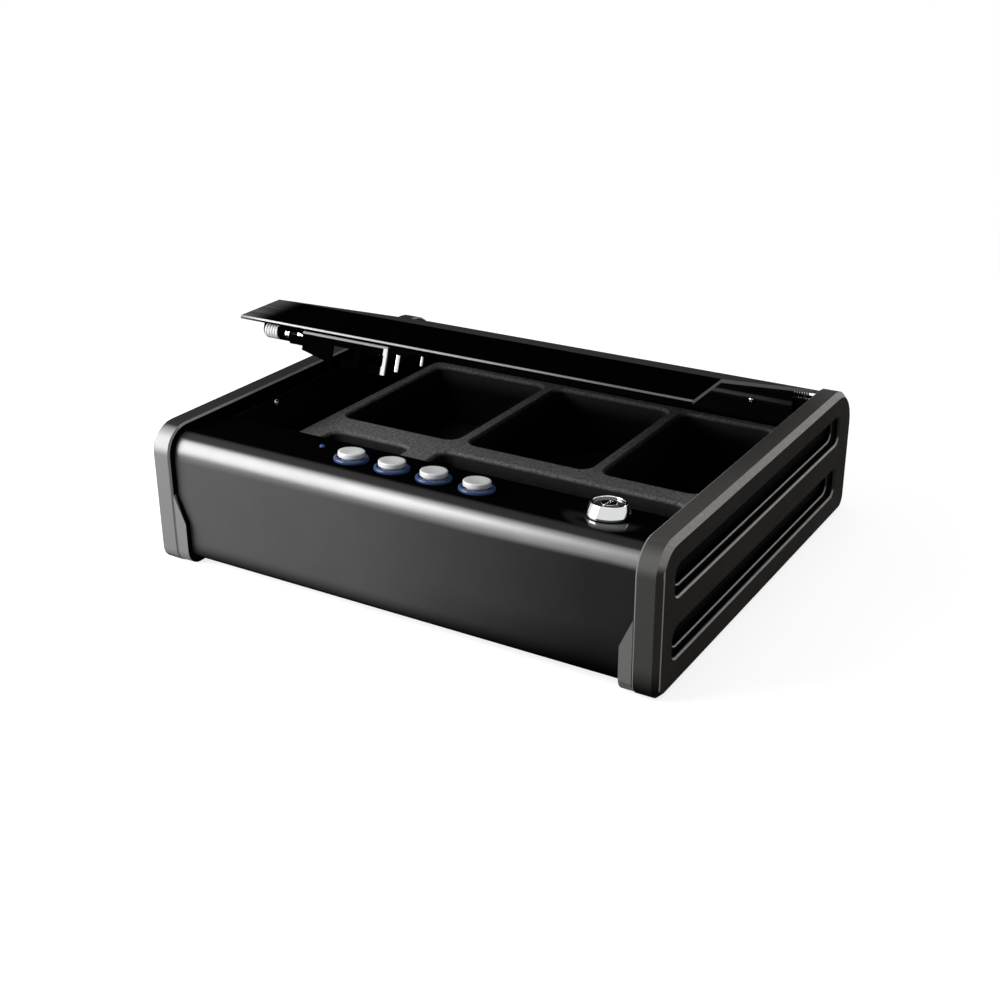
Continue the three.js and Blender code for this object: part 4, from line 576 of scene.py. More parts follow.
def cap_chamfers(t, at, tone, place):
    """Painted light on the chamfers: a tone where they look ahead, and pale painted highlights,
    mottled by noise, on the rim, the groove steps and the lips where they look up
    """
    upright = t.rise(t.both(at.across, at.ahead), *UPRIGHT_CHAMFER, smooth=True)
    tone = t.mixed(upright, tone, UPRIGHT_LIGHT_TONE)
    upper = t.rise(t.both(at.across, at.up), *UPPER_CHAMFER, smooth=True)
    highlight_mottle = t.ranged(t.noise(place, HIGHLIGHT_MOTTLE_SCALE, HIGHLIGHT_MOTTLE_DETAIL), *HIGHLIGHT_MOTTLE_SPREAD)
    rim = t.either(t.rise(at.height, *RIM_HEIGHT), t.fall(at.y, *RIM_FRONT))
    steps = [t.inside(at.height, low + STEP_LOW, low + STEP_HIGH, STEP_SOFT)
             for low, high in GROOVE_ROWS]
    step = t.both(t.either(*steps), t.inside(at.side, *STEP_SIDE))
    lip = t.rise(at.side, *LIP_SIDE)
    pale = t.mixed(rim, LIP_HIGHLIGHT_TONE, RIM_HIGHLIGHT_TONE)
    pale = t.mixed(t.fall(at.side, *INNER_CHAMFER), pale, INNER_CHAMFER_HIGHLIGHT_TONE)
    return t.mixed(t.both(upper, highlight_mottle, t.either(rim, step, lip)), tone, pale)


def cap_foot(t, at, tone):
    """Painted shade at the foot, a painted highlight along the front edge, and painted light on
    the foot tab and its edge
    """
    right = t.math("SUBTRACT", 1.0, at.left)
    shade = t.either(
        t.both(t.fall(at.height, *SHADE_RIGHT_HEIGHT, smooth=True),
               t.fall(at.across, *SHADE_RIGHT_ACROSS), right),
        t.both(t.fall(at.height, *SHADE_LEFT_HEIGHT, smooth=True), at.left))
    tone = t.mixed(shade, tone, grey(SHADE_TONE))
    edge_highlight = t.both(t.inside(at.y, *LINE_FRONT), t.rise(at.side, *LINE_SIDE),
                  t.inside(at.height, *LINE_HEIGHT))
    tone = t.mixed(edge_highlight, tone, LINE_HIGHLIGHT_TONE)
    longest = t.either(at.across, at.ahead, t.math("ABSOLUTE", at.up))
    tab_edge = t.both(t.fall(longest, *TAB_EDGE), t.fall(at.side, *TAB_EDGE_SIDE),
                      t.fall(at.y, *TAB_EDGE_FRONT), t.rise(at.ahead, *TAB_EDGE_AHEAD))
    tone = t.mixed(tab_edge, tone, TAB_EDGE_HIGHLIGHT_TONE)
    tab = t.both(t.fall(at.side, *TAB_SIDE), t.rise(at.ahead, *TAB_AHEAD),
                 t.rise(at.height, *TAB_HEIGHT))
    return t.mixed(tab, tone, TAB_LIGHT_TONE)


def cap_paint(t, place, tone, gloss):
    """Dark moulding with painted highlights on the edges, painted shade in the grooves and on
    the inner side, and painted light on the tops and fronts
    """
    at = CapPoint(t, place)
    tone = cap_faces(t, at, tone)
    tone = cap_hollows(t, at, tone)
    tone = cap_chamfers(t, at, tone, place)
    return cap_foot(t, at, tone), gloss, None


# Painted light on the tray's rims, mottled by tufts, and painted shade deep in the pockets
TRAY_RIM = 0.052
FLOCK_RIM = (TRAY_RIM - 0.0028, TRAY_RIM - 0.0006)
FLOCK_DEEP = (TRAY_RIM - 0.015, TRAY_RIM - 0.002)
FLOCK_DEEP_SHADE_TONE = 0.002
FLOCK_RIM_LIGHT = (0.11, 0.11, 0.112)
TUFT_SCALE = 600.0
TUFT_DETAIL = 6.0
TUFT_ROUGHNESS = 0.85
TUFT_SPREAD = (0.38, 0.62, 0.45, 1.7)


def tray_flock(t, place, tone, gloss):
    """Flock with painted light on the rims, mottled by tufts, and painted shade in the pockets
    """
    height = t.split(place)["Z"]
    deep = t.fall(height, *FLOCK_DEEP, smooth=True)
    tone = t.mixed(deep, tone, grey(FLOCK_DEEP_SHADE_TONE))
    tufts = t.ranged(t.noise(place, TUFT_SCALE, TUFT_DETAIL, TUFT_ROUGHNESS), *TUFT_SPREAD)
    rim = t.rise(height, *FLOCK_RIM, smooth=True)
    return t.mixed(rim, tone, t.scaled(FLOCK_RIM_LIGHT, tufts)), gloss, None


# Materials, one to a slot of the record, and some that belong to one piece


def make_materials():
    return {
        "painted_steel": surface(
            "satin_black_paint", (0.036, 0.036, 0.037), 0.34, specular=0.0, patch=0.1,
            grain=0.3, rough_patch=0.03, paint=front_paint),
        "inner_steel": surface(
            "inner_black_paint", (0.005, 0.005, 0.0052), 0.5, specular=0.02, patch=0.25,
            grain=0.4),
        "moulded_cap": surface(
            "grained_dark_moulding", (0.030, 0.028, 0.026), 0.6, specular=0.004, patch=0.3,
            grain=0.6, grain_scale=1700.0, grain_depth=0.00006, paint=cap_paint),
        "zinc_steel": surface(
            "zinc_plated_steel", (0.45, 0.46, 0.48), 0.32, metal=1.0,
            brushed=(1.0, 8.0, 8.0), grain=0.15),
        "bright_chrome": surface(
            "bright_plating", (0.70, 0.71, 0.72), 0.08, metal=1.0, patch=0.03,
            rough_patch=0.03, grain=0.03, grain_scale=700.0),
        "spring_steel": surface(
            "blackened_spring_wire", (0.008, 0.008, 0.009), 0.45, specular=0.08, patch=0.2,
            grain=0.1),
        "dark_face": surface(
            "dark_lock_face", (0.02, 0.02, 0.022), 0.22, patch=0.15, grain=0.1),
        "button_cap": surface(
            "pearl_button", (0.52, 0.53, 0.53), 0.3, patch=0.04, patch_scale=180.0,
            coat=0.3, grain=0.06),
        "button_ring": surface(
            "blue_ring_plastic", (0.016, 0.03, 0.085), 0.25, specular=0.3, patch=0.1,
            glow=0.2),
        "led_lens": surface(
            "blue_led_lens", (0.02, 0.04, 0.16), 0.2, specular=0.3, patch=0.1, glow=0.2),
        "silicone": surface(
            "grey_silicone", (0.27, 0.28, 0.29), 0.7, specular=0.35, grain=0.2),
        "circuit_board": surface(
            "green_solder_mask", (0.012, 0.07, 0.025), 0.4, patch=0.2, grain=0.25),
        "light_nylon": surface(
            "natural_grey_nylon", (0.42, 0.43, 0.44), 0.5, patch=0.08, grain=0.15,
            paint=ribbed_paint),
        "black_nylon": surface(
            "black_nylon", (0.0008, 0.0008, 0.0009), 0.55, specular=0.001, patch=0.2,
            grain=0.3),
        "copper_wire": surface(
            "enamelled_copper", (0.3, 0.09, 0.04), 0.3, metal=0.9, patch=0.2),
        "cell_wrap": surface(
            "plain_dark_wrap", (0.05, 0.055, 0.06), 0.3, patch=0.1, coat=0.3, grain=0.05),
        "tray_felt": surface(
            "dark_flock", (0.019, 0.019, 0.0195), 0.95, specular=0.02, patch=0.3,
            patch_scale=220.0, grain=1.0, grain_scale=2600.0, grain_depth=0.00025,
            rough_patch=0.03, sheen=0.03, paint=tray_flock),
        "mat_rubber": surface(
            "dark_mat", (0.006, 0.006, 0.006), 0.9, specular=0.05, patch=0.25, grain=0.9,
            grain_scale=1200.0, grain_depth=0.0002),
        # A darker copy of the black paint for the lid, as painted shade, with painted
        # highlights from lid_paint
        "lid_panel": surface(
            "lid_black_paint_painted_light", (0.0006, 0.0006, 0.0006), 0.28, specular=0.0, patch=0.2,
            grain=0.1, paint=lid_paint),
        # A darker copy of the black paint for the strike, as painted shade, with painted
        # highlights from strike_paint
        "strike_bracket": surface(
            "strike_black_paint_painted_light", (0.0006, 0.0006, 0.0006), 0.45, specular=0.0, patch=0.2,
            grain=0.2, paint=strike_paint),
        "hinge_clamp_bar": surface(
            "half_round_bar", (0.006, 0.006, 0.006), 0.35, specular=0.05, patch=0.2,
            grain=0.2, paint=bar_paint),
        # A darker copy of the black paint for the base pan and the battery door: painted shade
        "base_pan": surface(
            "plain_black_paint", (0.006, 0.006, 0.006), 0.4, specular=0.01, patch=0.1,
            grain=0.3),
    }


# Pieces that don't wear their slot's material; the black paints among them are darker copies,
# as painted shade, some with painted highlights
OWN_MATERIAL = {
    "lid_panel": "lid_panel", "strike_bracket": "strike_bracket",
    "base_pan": "base_pan", "battery_door": "base_pan", "hinge_clamp_bar": "hinge_clamp_bar",
    "strike_axle": "inner_steel", "hinge_pin": "inner_steel", "guide_pin_2": "zinc_steel",
}


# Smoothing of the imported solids: a modifier group welds and smooths, a bevel rounds the edges

WELD_DISTANCE = 0.00001
FLAT_ANGLE = math.radians(0.5)
BEVEL_ANGLE = math.radians(28.0)
BEVEL_SEGMENTS = 2
NORMAL_WEIGHT = 60

# Widths of the rounded edges in millimetres. The hinge's body leaf has none, because between
# its knuckles a bevel is clamped to nothing and leaves empty faces
EDGE_WIDTH = 0.15
EDGE_WIDTHS = {
    "front_shell": 0.25, "base_pan": 0.25, "lid_panel": 0.3, "battery_door": 0.2,
    "left_side_wall": 0.25, "right_side_wall": 0.25, "left_end_cap": 0.7,
    "right_end_cap": 0.7, "compartment_tray": 0.8, "hinge_clamp_bar": 0.4,
    "strike_bracket": 0.25, "guide_block": 0.3, "battery_holder": 0.2, "keypad_board": 0.1,
    "hinge_body_leaf": 0.0,
}


def smooth_group():
    group = bpy.data.node_groups.new("weld_and_smooth", "GeometryNodeTree")
    group.interface.new_socket("Geometry", in_out="INPUT", socket_type="NodeSocketGeometry")
    group.interface.new_socket("Geometry", in_out="OUTPUT", socket_type="NodeSocketGeometry")
    t = Tree(group)
    start = t.add("NodeGroupInput").outputs["Geometry"]
    welded = t.add("GeometryNodeMergeByDistance", {"Geometry": start,
                                                   "Distance": WELD_DISTANCE})
    smooth = t.add("GeometryNodeSetShadeSmooth", {"Geometry": welded.outputs["Geometry"],
                                                  "Shade Smooth": True})
    end = t.add("NodeGroupOutput")
    t.put(end.inputs["Geometry"], smooth.outputs["Geometry"])
    return group


def rounded(piece, width):
    weld = piece.modifiers.new("weld_and_smooth", "NODES")
    weld.node_group = SMOOTH
    flat = piece.modifiers.new("flat_faces", "DECIMATE")
    flat.decimate_type = "DISSOLVE"
    flat.angle_limit = FLAT_ANGLE
    bevel = piece.modifiers.new("edges", "BEVEL")
    bevel.width = width
    bevel.segments = BEVEL_SEGMENTS
    bevel.limit_method = "ANGLE"
    bevel.angle_limit = BEVEL_ANGLE
    bevel.use_clamp_overlap = True
    weighted = piece.modifiers.new("weighted", "WEIGHTED_NORMAL")
    weighted.keep_sharp = False
    weighted.weight = NORMAL_WEIGHT


def dress_nodes():
    slot_of = {part["node"]: part["material_slot"] for part in frame["record"]["subparts"]}
    for name, node in nodes.items():
        node.data.materials.clear()
        node.data.materials.append(MATERIALS[OWN_MATERIAL.get(name, slot_of[name])])
        rounded(node, EDGE_WIDTHS.get(name, EDGE_WIDTH) * MM)


# World, floor and lamps. The floor's own shade and shadow give way to white between two
# distances from the middle

WHITE = (1, 1, 1, 1)
AMBIENT = 0.3
FLOOR_DIFFUSE = 0.34
FLOOR_MOTTLE = 0.01
FLOOR_PATCH = 30.0
FLOOR_GLOW = 0.80
FLOOR_FADE = (0.32, 0.85)
FLOOR_REACH = 12.0


def seen_rays(t):
    """One where the ray comes from the camera, a gloss or a glass"""
    path = t.add("ShaderNodeLightPath").outputs
    return t.either(path["Is Camera Ray"], path["Is Glossy Ray"],
                    path["Is Transmission Ray"])


def make_world():
    world = bpy.data.worlds.new("white_studio")
    bpy.context.scene.world = world
    world.use_nodes = True
    t = Tree(world.node_tree)
    strength = t.ranged(seen_rays(t), 0.0, 1.0, AMBIENT, 1.0)
    sky = t.add("ShaderNodeBackground", {"Color": WHITE, "Strength": strength})
    output = t.add("ShaderNodeOutputWorld")
    t.put(output.inputs["Surface"], sky.outputs["Background"])


def floor_material():
    material = bpy.data.materials.new("pale_floor")
    material.use_nodes = True
    t = Tree(material.node_tree)
    place = t.place()
    length = t.add("ShaderNodeVectorMath", {0: place}, operation="LENGTH").outputs["Value"]
    far = t.rise(length, *FLOOR_FADE, smooth=True)
    pale = (FLOOR_DIFFUSE,) * 3
    mottled = t.mixed(t.noise(place, FLOOR_PATCH, CLOUD_DETAIL),
                      shaded(pale, 1 - FLOOR_MOTTLE), shaded(pale, 1 + FLOOR_MOTTLE))
    seen = seen_rays(t)
    glow = t.add("ShaderNodeEmission", {
        "Color": WHITE, "Strength": t.math("MULTIPLY", seen, FLOOR_GLOW)})
    beyond = t.add("ShaderNodeEmission", {
        "Color": WHITE, "Strength": t.ranged(seen, 0.0, 1.0, AMBIENT, 1.0)})
    lit = t.add("ShaderNodeBsdfDiffuse", {"Color": mottled})
    near = t.add("ShaderNodeAddShader", {0: lit.outputs[0], 1: glow.outputs[0]})
    whole = t.add("ShaderNodeMixShader", {"Fac": far, 1: near.outputs[0],
                                          2: beyond.outputs[0]})
    output = t.add("ShaderNodeOutputMaterial")
    t.put(output.inputs["Surface"], whole.outputs[0])
    return material


def make_floor():
    mesh = bpy.data.meshes.new("studio_floor")
    corners = [(x * FLOOR_REACH, y * FLOOR_REACH, 0)
               for x, y in ((-1, -1), (1, -1), (1, 1), (-1, 1))]
    mesh.from_pydata(corners, [], [(0, 1, 2, 3)])
    mesh.materials.append(floor_material())
    floor = bpy.data.objects.new("studio_floor", mesh)
    bpy.context.scene.collection.objects.link(floor)


# Name, place, what it looks at, width, height and watts
LAMPS = [
    ("left_softbox", (-0.62, -0.64, 0.54), (-0.04, -0.12, 0.06), 0.6, 0.85, 6.0),
    ("left_near_lamp", (-0.36, -0.38, 0.22), (-0.14, -0.13, 0.06), 0.4, 0.4, 3.6),
    ("top_lamp", (0.05, 0.0, 1.3), (0, 0, 0.06), 0.7, 0.7, 3.0),
    ("back_right_lamp", (0.6, 1.15, 0.72), (0.1, 0, 0.06), 0.3, 0.3, 4.0),
]


def make_lamps():
    for name, place, target, width, height, watts in LAMPS:
        data = bpy.data.lights.new(name, "AREA")
        data.shape = "RECTANGLE"
        data.size = width
        data.size_y = height
        data.energy = watts
        lamp = bpy.data.objects.new(name, data)
        bpy.context.scene.collection.objects.link(lamp)
        lamp.location = place
        aim = Vector(target) - Vector(place)
        lamp.rotation_mode = "QUATERNION"
        lamp.rotation_quaternion = aim.to_track_quat("-Z", "Y")


# Pieces in mesh code


def add_piece(name, mesh, slot, body, replaced):
    piece = bpy.data.objects.new(name, mesh)
    bpy.context.scene.collection.objects.link(piece)
    mesh.materials.append(MATERIALS[slot])
    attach(piece, body)
    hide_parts(replaced)


def turned(name, profile, sides, place, sharp_angle=40.0):
    """Turns a profile of (radius, height) pairs round Z and puts it at place, a matrix"""
    mesh = bpy.data.meshes.new(name)
    bm = bmesh.new()
    rings = []
    for radius, height in profile:
        if radius == 0:
            rings.append([bm.verts.new((0, 0, height))])
            continue
        rings.append([
            bm.verts.new((radius * math.cos(2 * math.pi * i / sides),
                          radius * math.sin(2 * math.pi * i / sides), height))
            for i in range(sides)
        ])
    closed = profile[0][0] > 0 and profile[-1][0] > 0
    pairs = list(zip(rings, rings[1:]))
    if closed:
        pairs.append((rings[-1], rings[0]))
    for low, high in pairs:
        for i in range(sides):
            k = (i + 1) % sides
            loop = [low[i % len(low)], low[k % len(low)], high[k % len(high)],
                    high[i % len(high)]]
            bm.faces.new(list(dict.fromkeys(loop)))
    bmesh.ops.recalc_face_normals(bm, faces=bm.faces)
    for face in bm.faces:
        face.smooth = True
    for edge in bm.edges:
        if edge.calc_face_angle(0.0) > math.radians(sharp_angle):
            edge.smooth = False
    bmesh.ops.transform(bm, matrix=place, verts=bm.verts)
    bm.to_mesh(mesh)
    bm.free()
    return mesh


def arc(centre, radius, start, end, steps):
    """Points of a round in a profile, from start to end in degrees"""
    angles = [math.radians(start + (end - start) * i / steps) for i in range(steps + 1)]
    return [(centre[0] + radius * math.cos(angle), centre[1] + radius * math.sin(angle))
            for angle in angles]


def quarter(place, radius, start, steps):
    """A quarter round in a profile's corner, from start degrees on

    It starts at -90 in a low outer corner, at 0 in a high outer one, at 90 in a high inner one.
    """
    inward = {-90: (-1, 1), 0: (-1, -1), 90: (1, -1)}[start]
    centre = (place[0] + radius * inward[0], place[1] + radius * inward[1])
    return arc(centre, radius, start, start + 90, steps)


# The deck's frame: it falls a little towards the lid. Places on it, radii, and heights above it
# are in millimetres

DECK_TILT = math.atan2(4.6, 49.3)
DECK_MIDDLE = Vector((0, -0.10295, 0.0741))


def on_deck(x, y):
    """A matrix whose Z is the deck's normal, at a place given in millimetres on the deck"""
    deck = Matrix.Translation(DECK_MIDDLE) @ Matrix.Rotation(-DECK_TILT, 4, "X")
    return deck @ Matrix.Translation((x * MM, y * MM, 0)) @ Matrix.Scale(MM, 4)


BUTTON_MIDDLE = 0.4
BUTTON_PITCH = 25.6
BUTTON_PLACES = [BUTTON_MIDDLE + step * BUTTON_PITCH for step in (-1.5, -0.5, 0.5, 1.5)]
BUTTON_Y = -0.8
BUTTON_RADIUS = 7.2
BUTTON_LOW = 2.7
BUTTON_TOP = 5.4
BUTTON_ROUND = 0.7
BUTTON_SIDES = 72
STEM_RADIUS = 5.3
STEM_LOW = -5.0
DISH_RADIUS = 5.6
DISH_DEPTH = 0.45
DISH_STEPS = 4
RING_RADIUS = 9.5
RING_TOP = 2.4
RING_SEAT = 0.3
RING_NECK = 6.2
RING_BORE = 5.7
RING_LOW = -2.2
RING_ROUND = 1.2
WELL_RADIUS = 7.6
WELL_FLOOR = 0.8


def make_buttons():
    dish_low = BUTTON_TOP - DISH_DEPTH
    shares = [step / DISH_STEPS for step in range(DISH_STEPS, 0, -1)]
    cap = [
        (0, STEM_LOW),
        *quarter((STEM_RADIUS, STEM_LOW), 0.4, -90, 4),
        (STEM_RADIUS, BUTTON_LOW),
        *quarter((BUTTON_RADIUS, BUTTON_LOW), 0.3, -90, 4),
        *quarter((BUTTON_RADIUS, BUTTON_TOP), BUTTON_ROUND, 0, 8),
        (BUTTON_RADIUS - 1.1, BUTTON_TOP - 0.04),
        *[(DISH_RADIUS * share, dish_low + DISH_DEPTH * share ** 2) for share in shares],
        (0, dish_low),
    ]
    ring = [
        (RING_BORE, RING_LOW),
        (RING_NECK, RING_LOW),
        (RING_NECK, RING_SEAT),
        *quarter((RING_RADIUS, RING_SEAT), 0.3, -90, 3),
        *quarter((RING_RADIUS, RING_TOP), RING_ROUND, 0, 10),
        *quarter((WELL_RADIUS, RING_TOP), 0.3, 90, 4),
        (WELL_RADIUS, WELL_FLOOR),
        (RING_BORE, WELL_FLOOR),
    ]
    for i, x in enumerate(BUTTON_PLACES):
        place = on_deck(x, BUTTON_Y)
        name = f"button_{i + 1}"
        mesh = turned(name, cap, BUTTON_SIDES, place)
        add_piece(f"dished_{name}", mesh, "button_cap", name, name)
        hoop = f"button_ring_{i + 1}"
        mesh = turned(hoop, ring, BUTTON_SIDES, place)
        add_piece(f"lit_{hoop}", mesh, "button_ring", "case", hoop)


LED_PLACE = (-64.4, 9.0)
LED_RADIUS = 1.5
LED_LOW = -9.0
LED_RIM = 0.3
LED_DOME = 0.8
LED_SIDES = 32


def make_led():
    dome = [(LED_RADIUS * math.cos(math.radians(a)),
             LED_RIM + LED_DOME * math.sin(math.radians(a))) for a in range(0, 90, 10)]
    profile = [(0, LED_LOW), (LED_RADIUS, LED_LOW), *dome, (0, LED_RIM + LED_DOME)]
    mesh = turned("status_lens", profile, LED_SIDES, on_deck(*LED_PLACE))
    add_piece("status_lens", mesh, "led_lens", "case", "status_led")


LOCK_PLACE = (108.0, 7.0)
BEZEL_BORE = 8.0
BEZEL_RADIUS = 11.45
BEZEL_SEAT = 0.3
BEZEL_TOP = 7.15
BEZEL_RIM = 1.3
CONE_FOOT = (11.1, 1.5)
CONE_TOP = (8.75, 6.55)
CONE_SLOPE = 20
BEZEL_SIDES = 128
BEZEL_SHARP = 60.0
BARREL_RADIUS = 9.0
BARREL_LOW = -19.0
BARREL_TOP = -0.3
FACE_RADIUS = 7.7
FACE_EDGE = 5.7
FACE_TOP = 6.0
FACE_SIDES = 96
PLUG_BORE = 4.4


def make_lock():
    bezel = [
        (BEZEL_BORE, BEZEL_SEAT),
        *quarter((BEZEL_RADIUS, BEZEL_SEAT), 0.3, -90, 4),
        (BEZEL_RADIUS, BEZEL_RIM),
        *arc(CONE_FOOT, 0.35, 0, CONE_SLOPE, 3),
        *arc(CONE_TOP, 0.45, CONE_SLOPE, 90, 6),
        *quarter((BEZEL_BORE, BEZEL_TOP), 0.45, 90, 6),
    ]
    face = [
        (PLUG_BORE, BARREL_LOW),
        (BARREL_RADIUS, BARREL_LOW),
        (BARREL_RADIUS, BARREL_TOP),
        (FACE_RADIUS, BARREL_TOP),
        (FACE_RADIUS, FACE_EDGE),
        *quarter((FACE_RADIUS, FACE_TOP), 0.2, 0, 4),
        *quarter((PLUG_BORE, FACE_TOP), 0.4, 90, 4),
    ]
    place = on_deck(*LOCK_PLACE)
    mesh = turned("bezel", bezel, BEZEL_SIDES, place, BEZEL_SHARP)
    add_piece("polished_bezel", mesh, "bright_chrome", "case", "lock_bezel")
    mesh = turned("lock_face", face, FACE_SIDES, place)
    add_piece("lock_face", mesh, "dark_face", "case", "lock_barrel")


# Springs and windings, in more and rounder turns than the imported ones. Sizes in millimetres

WIRE_SIDES = 10
TURN_STEPS = 28
LEG_STEPS = 4
LID_SPRING_SIDE = 121.0
LID_SPRING_WIRE = 0.4
LID_SPRING_SHAPE = (2.1, 1.5, 5.25, 11.0)
LATCH_SPRING_WIRE = 0.5
LATCH_SPRING_TURNS = 6.0
FLANGE = 1.5
WINDING_BORE = 4.4
WINDING_ROWS = 30
WINDING_SIDES = 64
WIRE_VALLEY = 0.28
WIRE_ROUND = 0.05


def tube(name, points, radius):
    """A closed round wire through points, its section carried along without twist"""
    mesh = bpy.data.meshes.new(name)
    bm = bmesh.new()
    ahead = [(points[min(i + 1, len(points) - 1)] - points[max(i - 1, 0)]).normalized()
             for i in range(len(points))]
    across = ahead[0].orthogonal().normalized()
    rings = []
    for point, way in zip(points, ahead):
        across = (across - way * across.dot(way)).normalized()
        over = way.cross(across)
        rings.append([
            bm.verts.new(point + (across * math.cos(2 * math.pi * k / WIRE_SIDES)
                                  + over * math.sin(2 * math.pi * k / WIRE_SIDES)) * radius)
            for k in range(WIRE_SIDES)
        ])
    for low, high in zip(rings, rings[1:]):
        for k in range(WIRE_SIDES):
            n = (k + 1) % WIRE_SIDES
            bm.faces.new((low[k], low[n], high[n], high[k])).smooth = True
    bm.faces.new(list(reversed(rings[0])))
    bm.faces.new(rings[-1])
    bmesh.ops.recalc_face_normals(bm, faces=bm.faces)
    bm.to_mesh(mesh)
    bm.free()
    return mesh


def coil_points(radius, pitch, turns, leg):
    """A coil about X, with a straight leg at each end where leg isn't zero"""
    points = []
    whole = 2 * math.pi * turns
    if leg:
        points += [Vector((0, radius, -leg * (1 - i / LEG_STEPS))) for i in range(LEG_STEPS)]
    steps = round(turns * TURN_STEPS)
    for i in range(steps + 1):
        angle = whole * i / steps
        points.append(Vector((pitch * turns * i / steps, radius * math.cos(angle),
                              radius * math.sin(angle))))
    if leg:
        last = points[-1]
        out = Vector((0, -math.sin(whole), math.cos(whole)))
        points += [last + out * (leg * (i + 1) / LEG_STEPS) for i in range(LEG_STEPS)]
    return points


def make_springs():
    for side, name in ((-1, "left_lid_spring"), (1, "right_lid_spring")):
        start = Vector(HINGE) / MM + Vector((side * LID_SPRING_SIDE, 0, 0))
        points = [(start + Vector((side * p.x, p.y, p.z))) * MM
                  for p in coil_points(*LID_SPRING_SHAPE)]
        mesh = tube(f"round_{name}", points, LID_SPRING_WIRE * MM)
        add_piece(f"round_{name}", mesh, "spring_steel", "case", name)
    low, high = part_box("latch_spring")
    start = Vector((low.x, (low.y + high.y) / 2, (low.z + high.z) / 2))
    start.x += LATCH_SPRING_WIRE * MM
    radius = (high.z - low.z) / 2 / MM - LATCH_SPRING_WIRE
    span = (high.x - low.x) / MM - 2 * LATCH_SPRING_WIRE
    pitch = span / LATCH_SPRING_TURNS
    points = [start + p * MM for p in coil_points(radius, pitch, LATCH_SPRING_TURNS, 0.0)]
    mesh = tube("round_latch_spring", points, LATCH_SPRING_WIRE * MM)
    add_piece("round_latch_spring", mesh, "spring_steel", "case", "latch_spring")


def make_winding():
    """The solenoid's bobbin with rows of wire"""
    low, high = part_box("solenoid_coil")
    length = (high.x - low.x) / MM
    rim = (high.z - low.z) / 2 / MM
    wound = rim - FLANGE
    pitch = (length - 2 * FLANGE) / WINDING_ROWS
    wire = []
    for row in range(WINDING_ROWS):
        foot = FLANGE + row * pitch
        wire += [(wound - WIRE_VALLEY, foot), (wound - WIRE_ROUND, foot + pitch * 0.25),
                 (wound, foot + pitch * 0.5), (wound - WIRE_ROUND, foot + pitch * 0.75)]
    profile = [(WINDING_BORE, 0), (rim, 0), (rim, FLANGE), *wire, (rim, length - FLANGE),
               (rim, length), (WINDING_BORE, length)]
    place = (Matrix.Translation((low.x, (low.y + high.y) / 2, (low.z + high.z) / 2))
             @ Matrix.Rotation(math.pi / 2, 4, "Y") @ Matrix.Scale(MM, 4))
    mesh = turned("wound_coil", profile, WINDING_SIDES, place)
    add_piece("wound_coil", mesh, "copper_wire", "case", "solenoid_coil")


# Screws with a domed head and a cross recess, in millimetres

PACKED_HEAD = 1.2
HEAD_RADIUS = 1.9
HEAD_RIM = 0.25
HEAD_DOME = HEAD_RADIUS * 0.48
HEAD_GAP = 0.02
HEAD_SIDES = 40
SHANK_RADIUS = 1.1
SHANK_TIP = 0.8
SHANK_CHAMFER = 0.5
RECESS_LENGTH = HEAD_RADIUS * 1.1
RECESS_WIDTH = 0.42
RECESS_HEIGHT = HEAD_RADIUS * 0.7
RECESS_MIDDLE = HEAD_RADIUS * 0.62

# Names, the axis that they lie along, the side of the head, the turn that points Z to that
# side, and the cross's angle in radians
SCREWS = [
    (("left_wall_screw_1", "left_wall_screw_2"), 0, 1, (math.pi / 2, 4, "Y"), 0.4),
    (("right_wall_screw_1", "right_wall_screw_2"), 0, -1, (-math.pi / 2, 4, "Y"), 0.4),
    (("hinge_screw_1", "hinge_screw_2", "hinge_screw_3"), 1, -1, (math.pi / 2, 4, "X"), 0.7),
    (("battery_door_screw",), 2, -1, (math.pi, 4, "X"), 0.0),
]


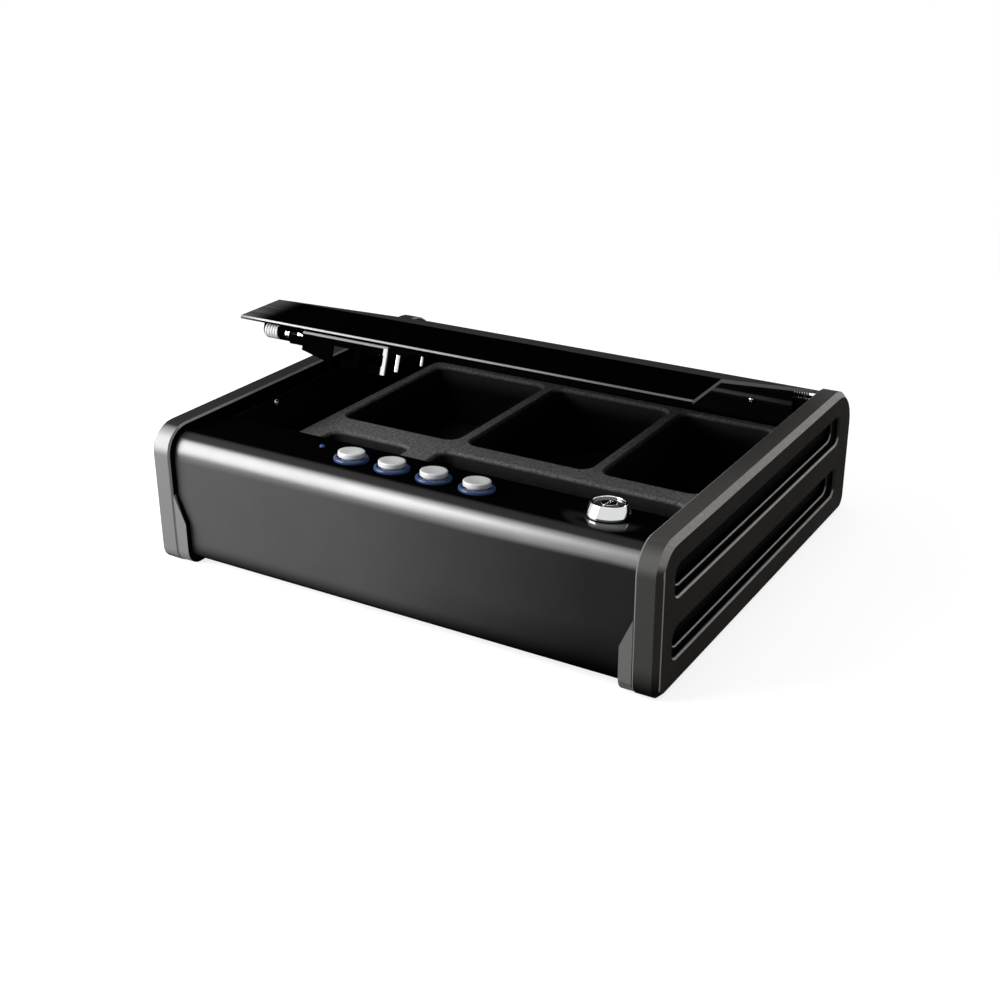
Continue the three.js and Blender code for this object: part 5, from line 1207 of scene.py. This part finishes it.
def cross_recess(name):
    bm = bmesh.new()
    for turn in (0.0, math.pi / 2):
        cube = bmesh.ops.create_cube(bm, size=1.0)
        shape = (Matrix.Rotation(turn, 4, "Z") @ Matrix.Translation((0, 0, RECESS_MIDDLE))
                 @ Matrix.Diagonal((RECESS_LENGTH, RECESS_WIDTH, RECESS_HEIGHT, 1)))
        bmesh.ops.transform(bm, matrix=shape, verts=cube["verts"])
    mesh = bpy.data.meshes.new(name)
    bm.to_mesh(mesh)
    bm.free()
    return mesh


def cross_screw(name, place, length):
    """The head stands on z = 0 of place, a matrix, and the shank runs down to -length"""
    dome = [(HEAD_RADIUS * math.cos(math.radians(a)),
             HEAD_RIM + HEAD_DOME * math.sin(math.radians(a))) for a in range(0, 90, 9)]
    profile = [(0, -length), (SHANK_TIP, -length), (SHANK_RADIUS, SHANK_CHAMFER - length),
               (SHANK_RADIUS, HEAD_GAP), (HEAD_RADIUS, HEAD_GAP), *dome,
               (0, HEAD_RIM + HEAD_DOME)]
    blank = bpy.data.objects.new(f"{name}_blank",
                                 turned(f"{name}_head", profile, HEAD_SIDES, Matrix()))
    tool = bpy.data.objects.new(f"{name}_recess", cross_recess(f"{name}_recess"))
    for thing in (tool, blank):
        bpy.context.scene.collection.objects.link(thing)
    recess = blank.modifiers.new("recess", "BOOLEAN")
    recess.operation = "DIFFERENCE"
    recess.object = tool
    recess.use_self = True
    bpy.context.view_layer.update()
    graph = bpy.context.evaluated_depsgraph_get()
    mesh = bpy.data.meshes.new_from_object(blank.evaluated_get(graph))
    for thing in (tool, blank):
        bpy.data.objects.remove(thing)
    mesh.transform(place @ Matrix.Scale(MM, 4))
    add_piece(f"cross_{name}", mesh, "bright_chrome", "case", name)


def make_screws():
    """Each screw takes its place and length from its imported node's box"""
    for names, axis, side, turn, cross_angle in SCREWS:
        for name in names:
            low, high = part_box(name)
            length = (high[axis] - low[axis]) / MM - PACKED_HEAD
            seat = (low + high) / 2
            head_end = high if side > 0 else low
            seat[axis] = head_end[axis] - side * PACKED_HEAD * MM
            place = (Matrix.Translation(seat) @ Matrix.Rotation(*turn)
                     @ Matrix.Rotation(cross_angle, 4, "Z"))
            cross_screw(name, place, length)


SMOOTH = smooth_group()
MATERIALS = make_materials()
make_camera()
make_world()
make_floor()
make_lamps()
dress_nodes()
make_buttons()
make_led()
make_lock()
make_springs()
make_winding()
make_screws()

bpy.context.scene.view_settings.view_transform = "Standard"
bpy.context.view_layer.update()
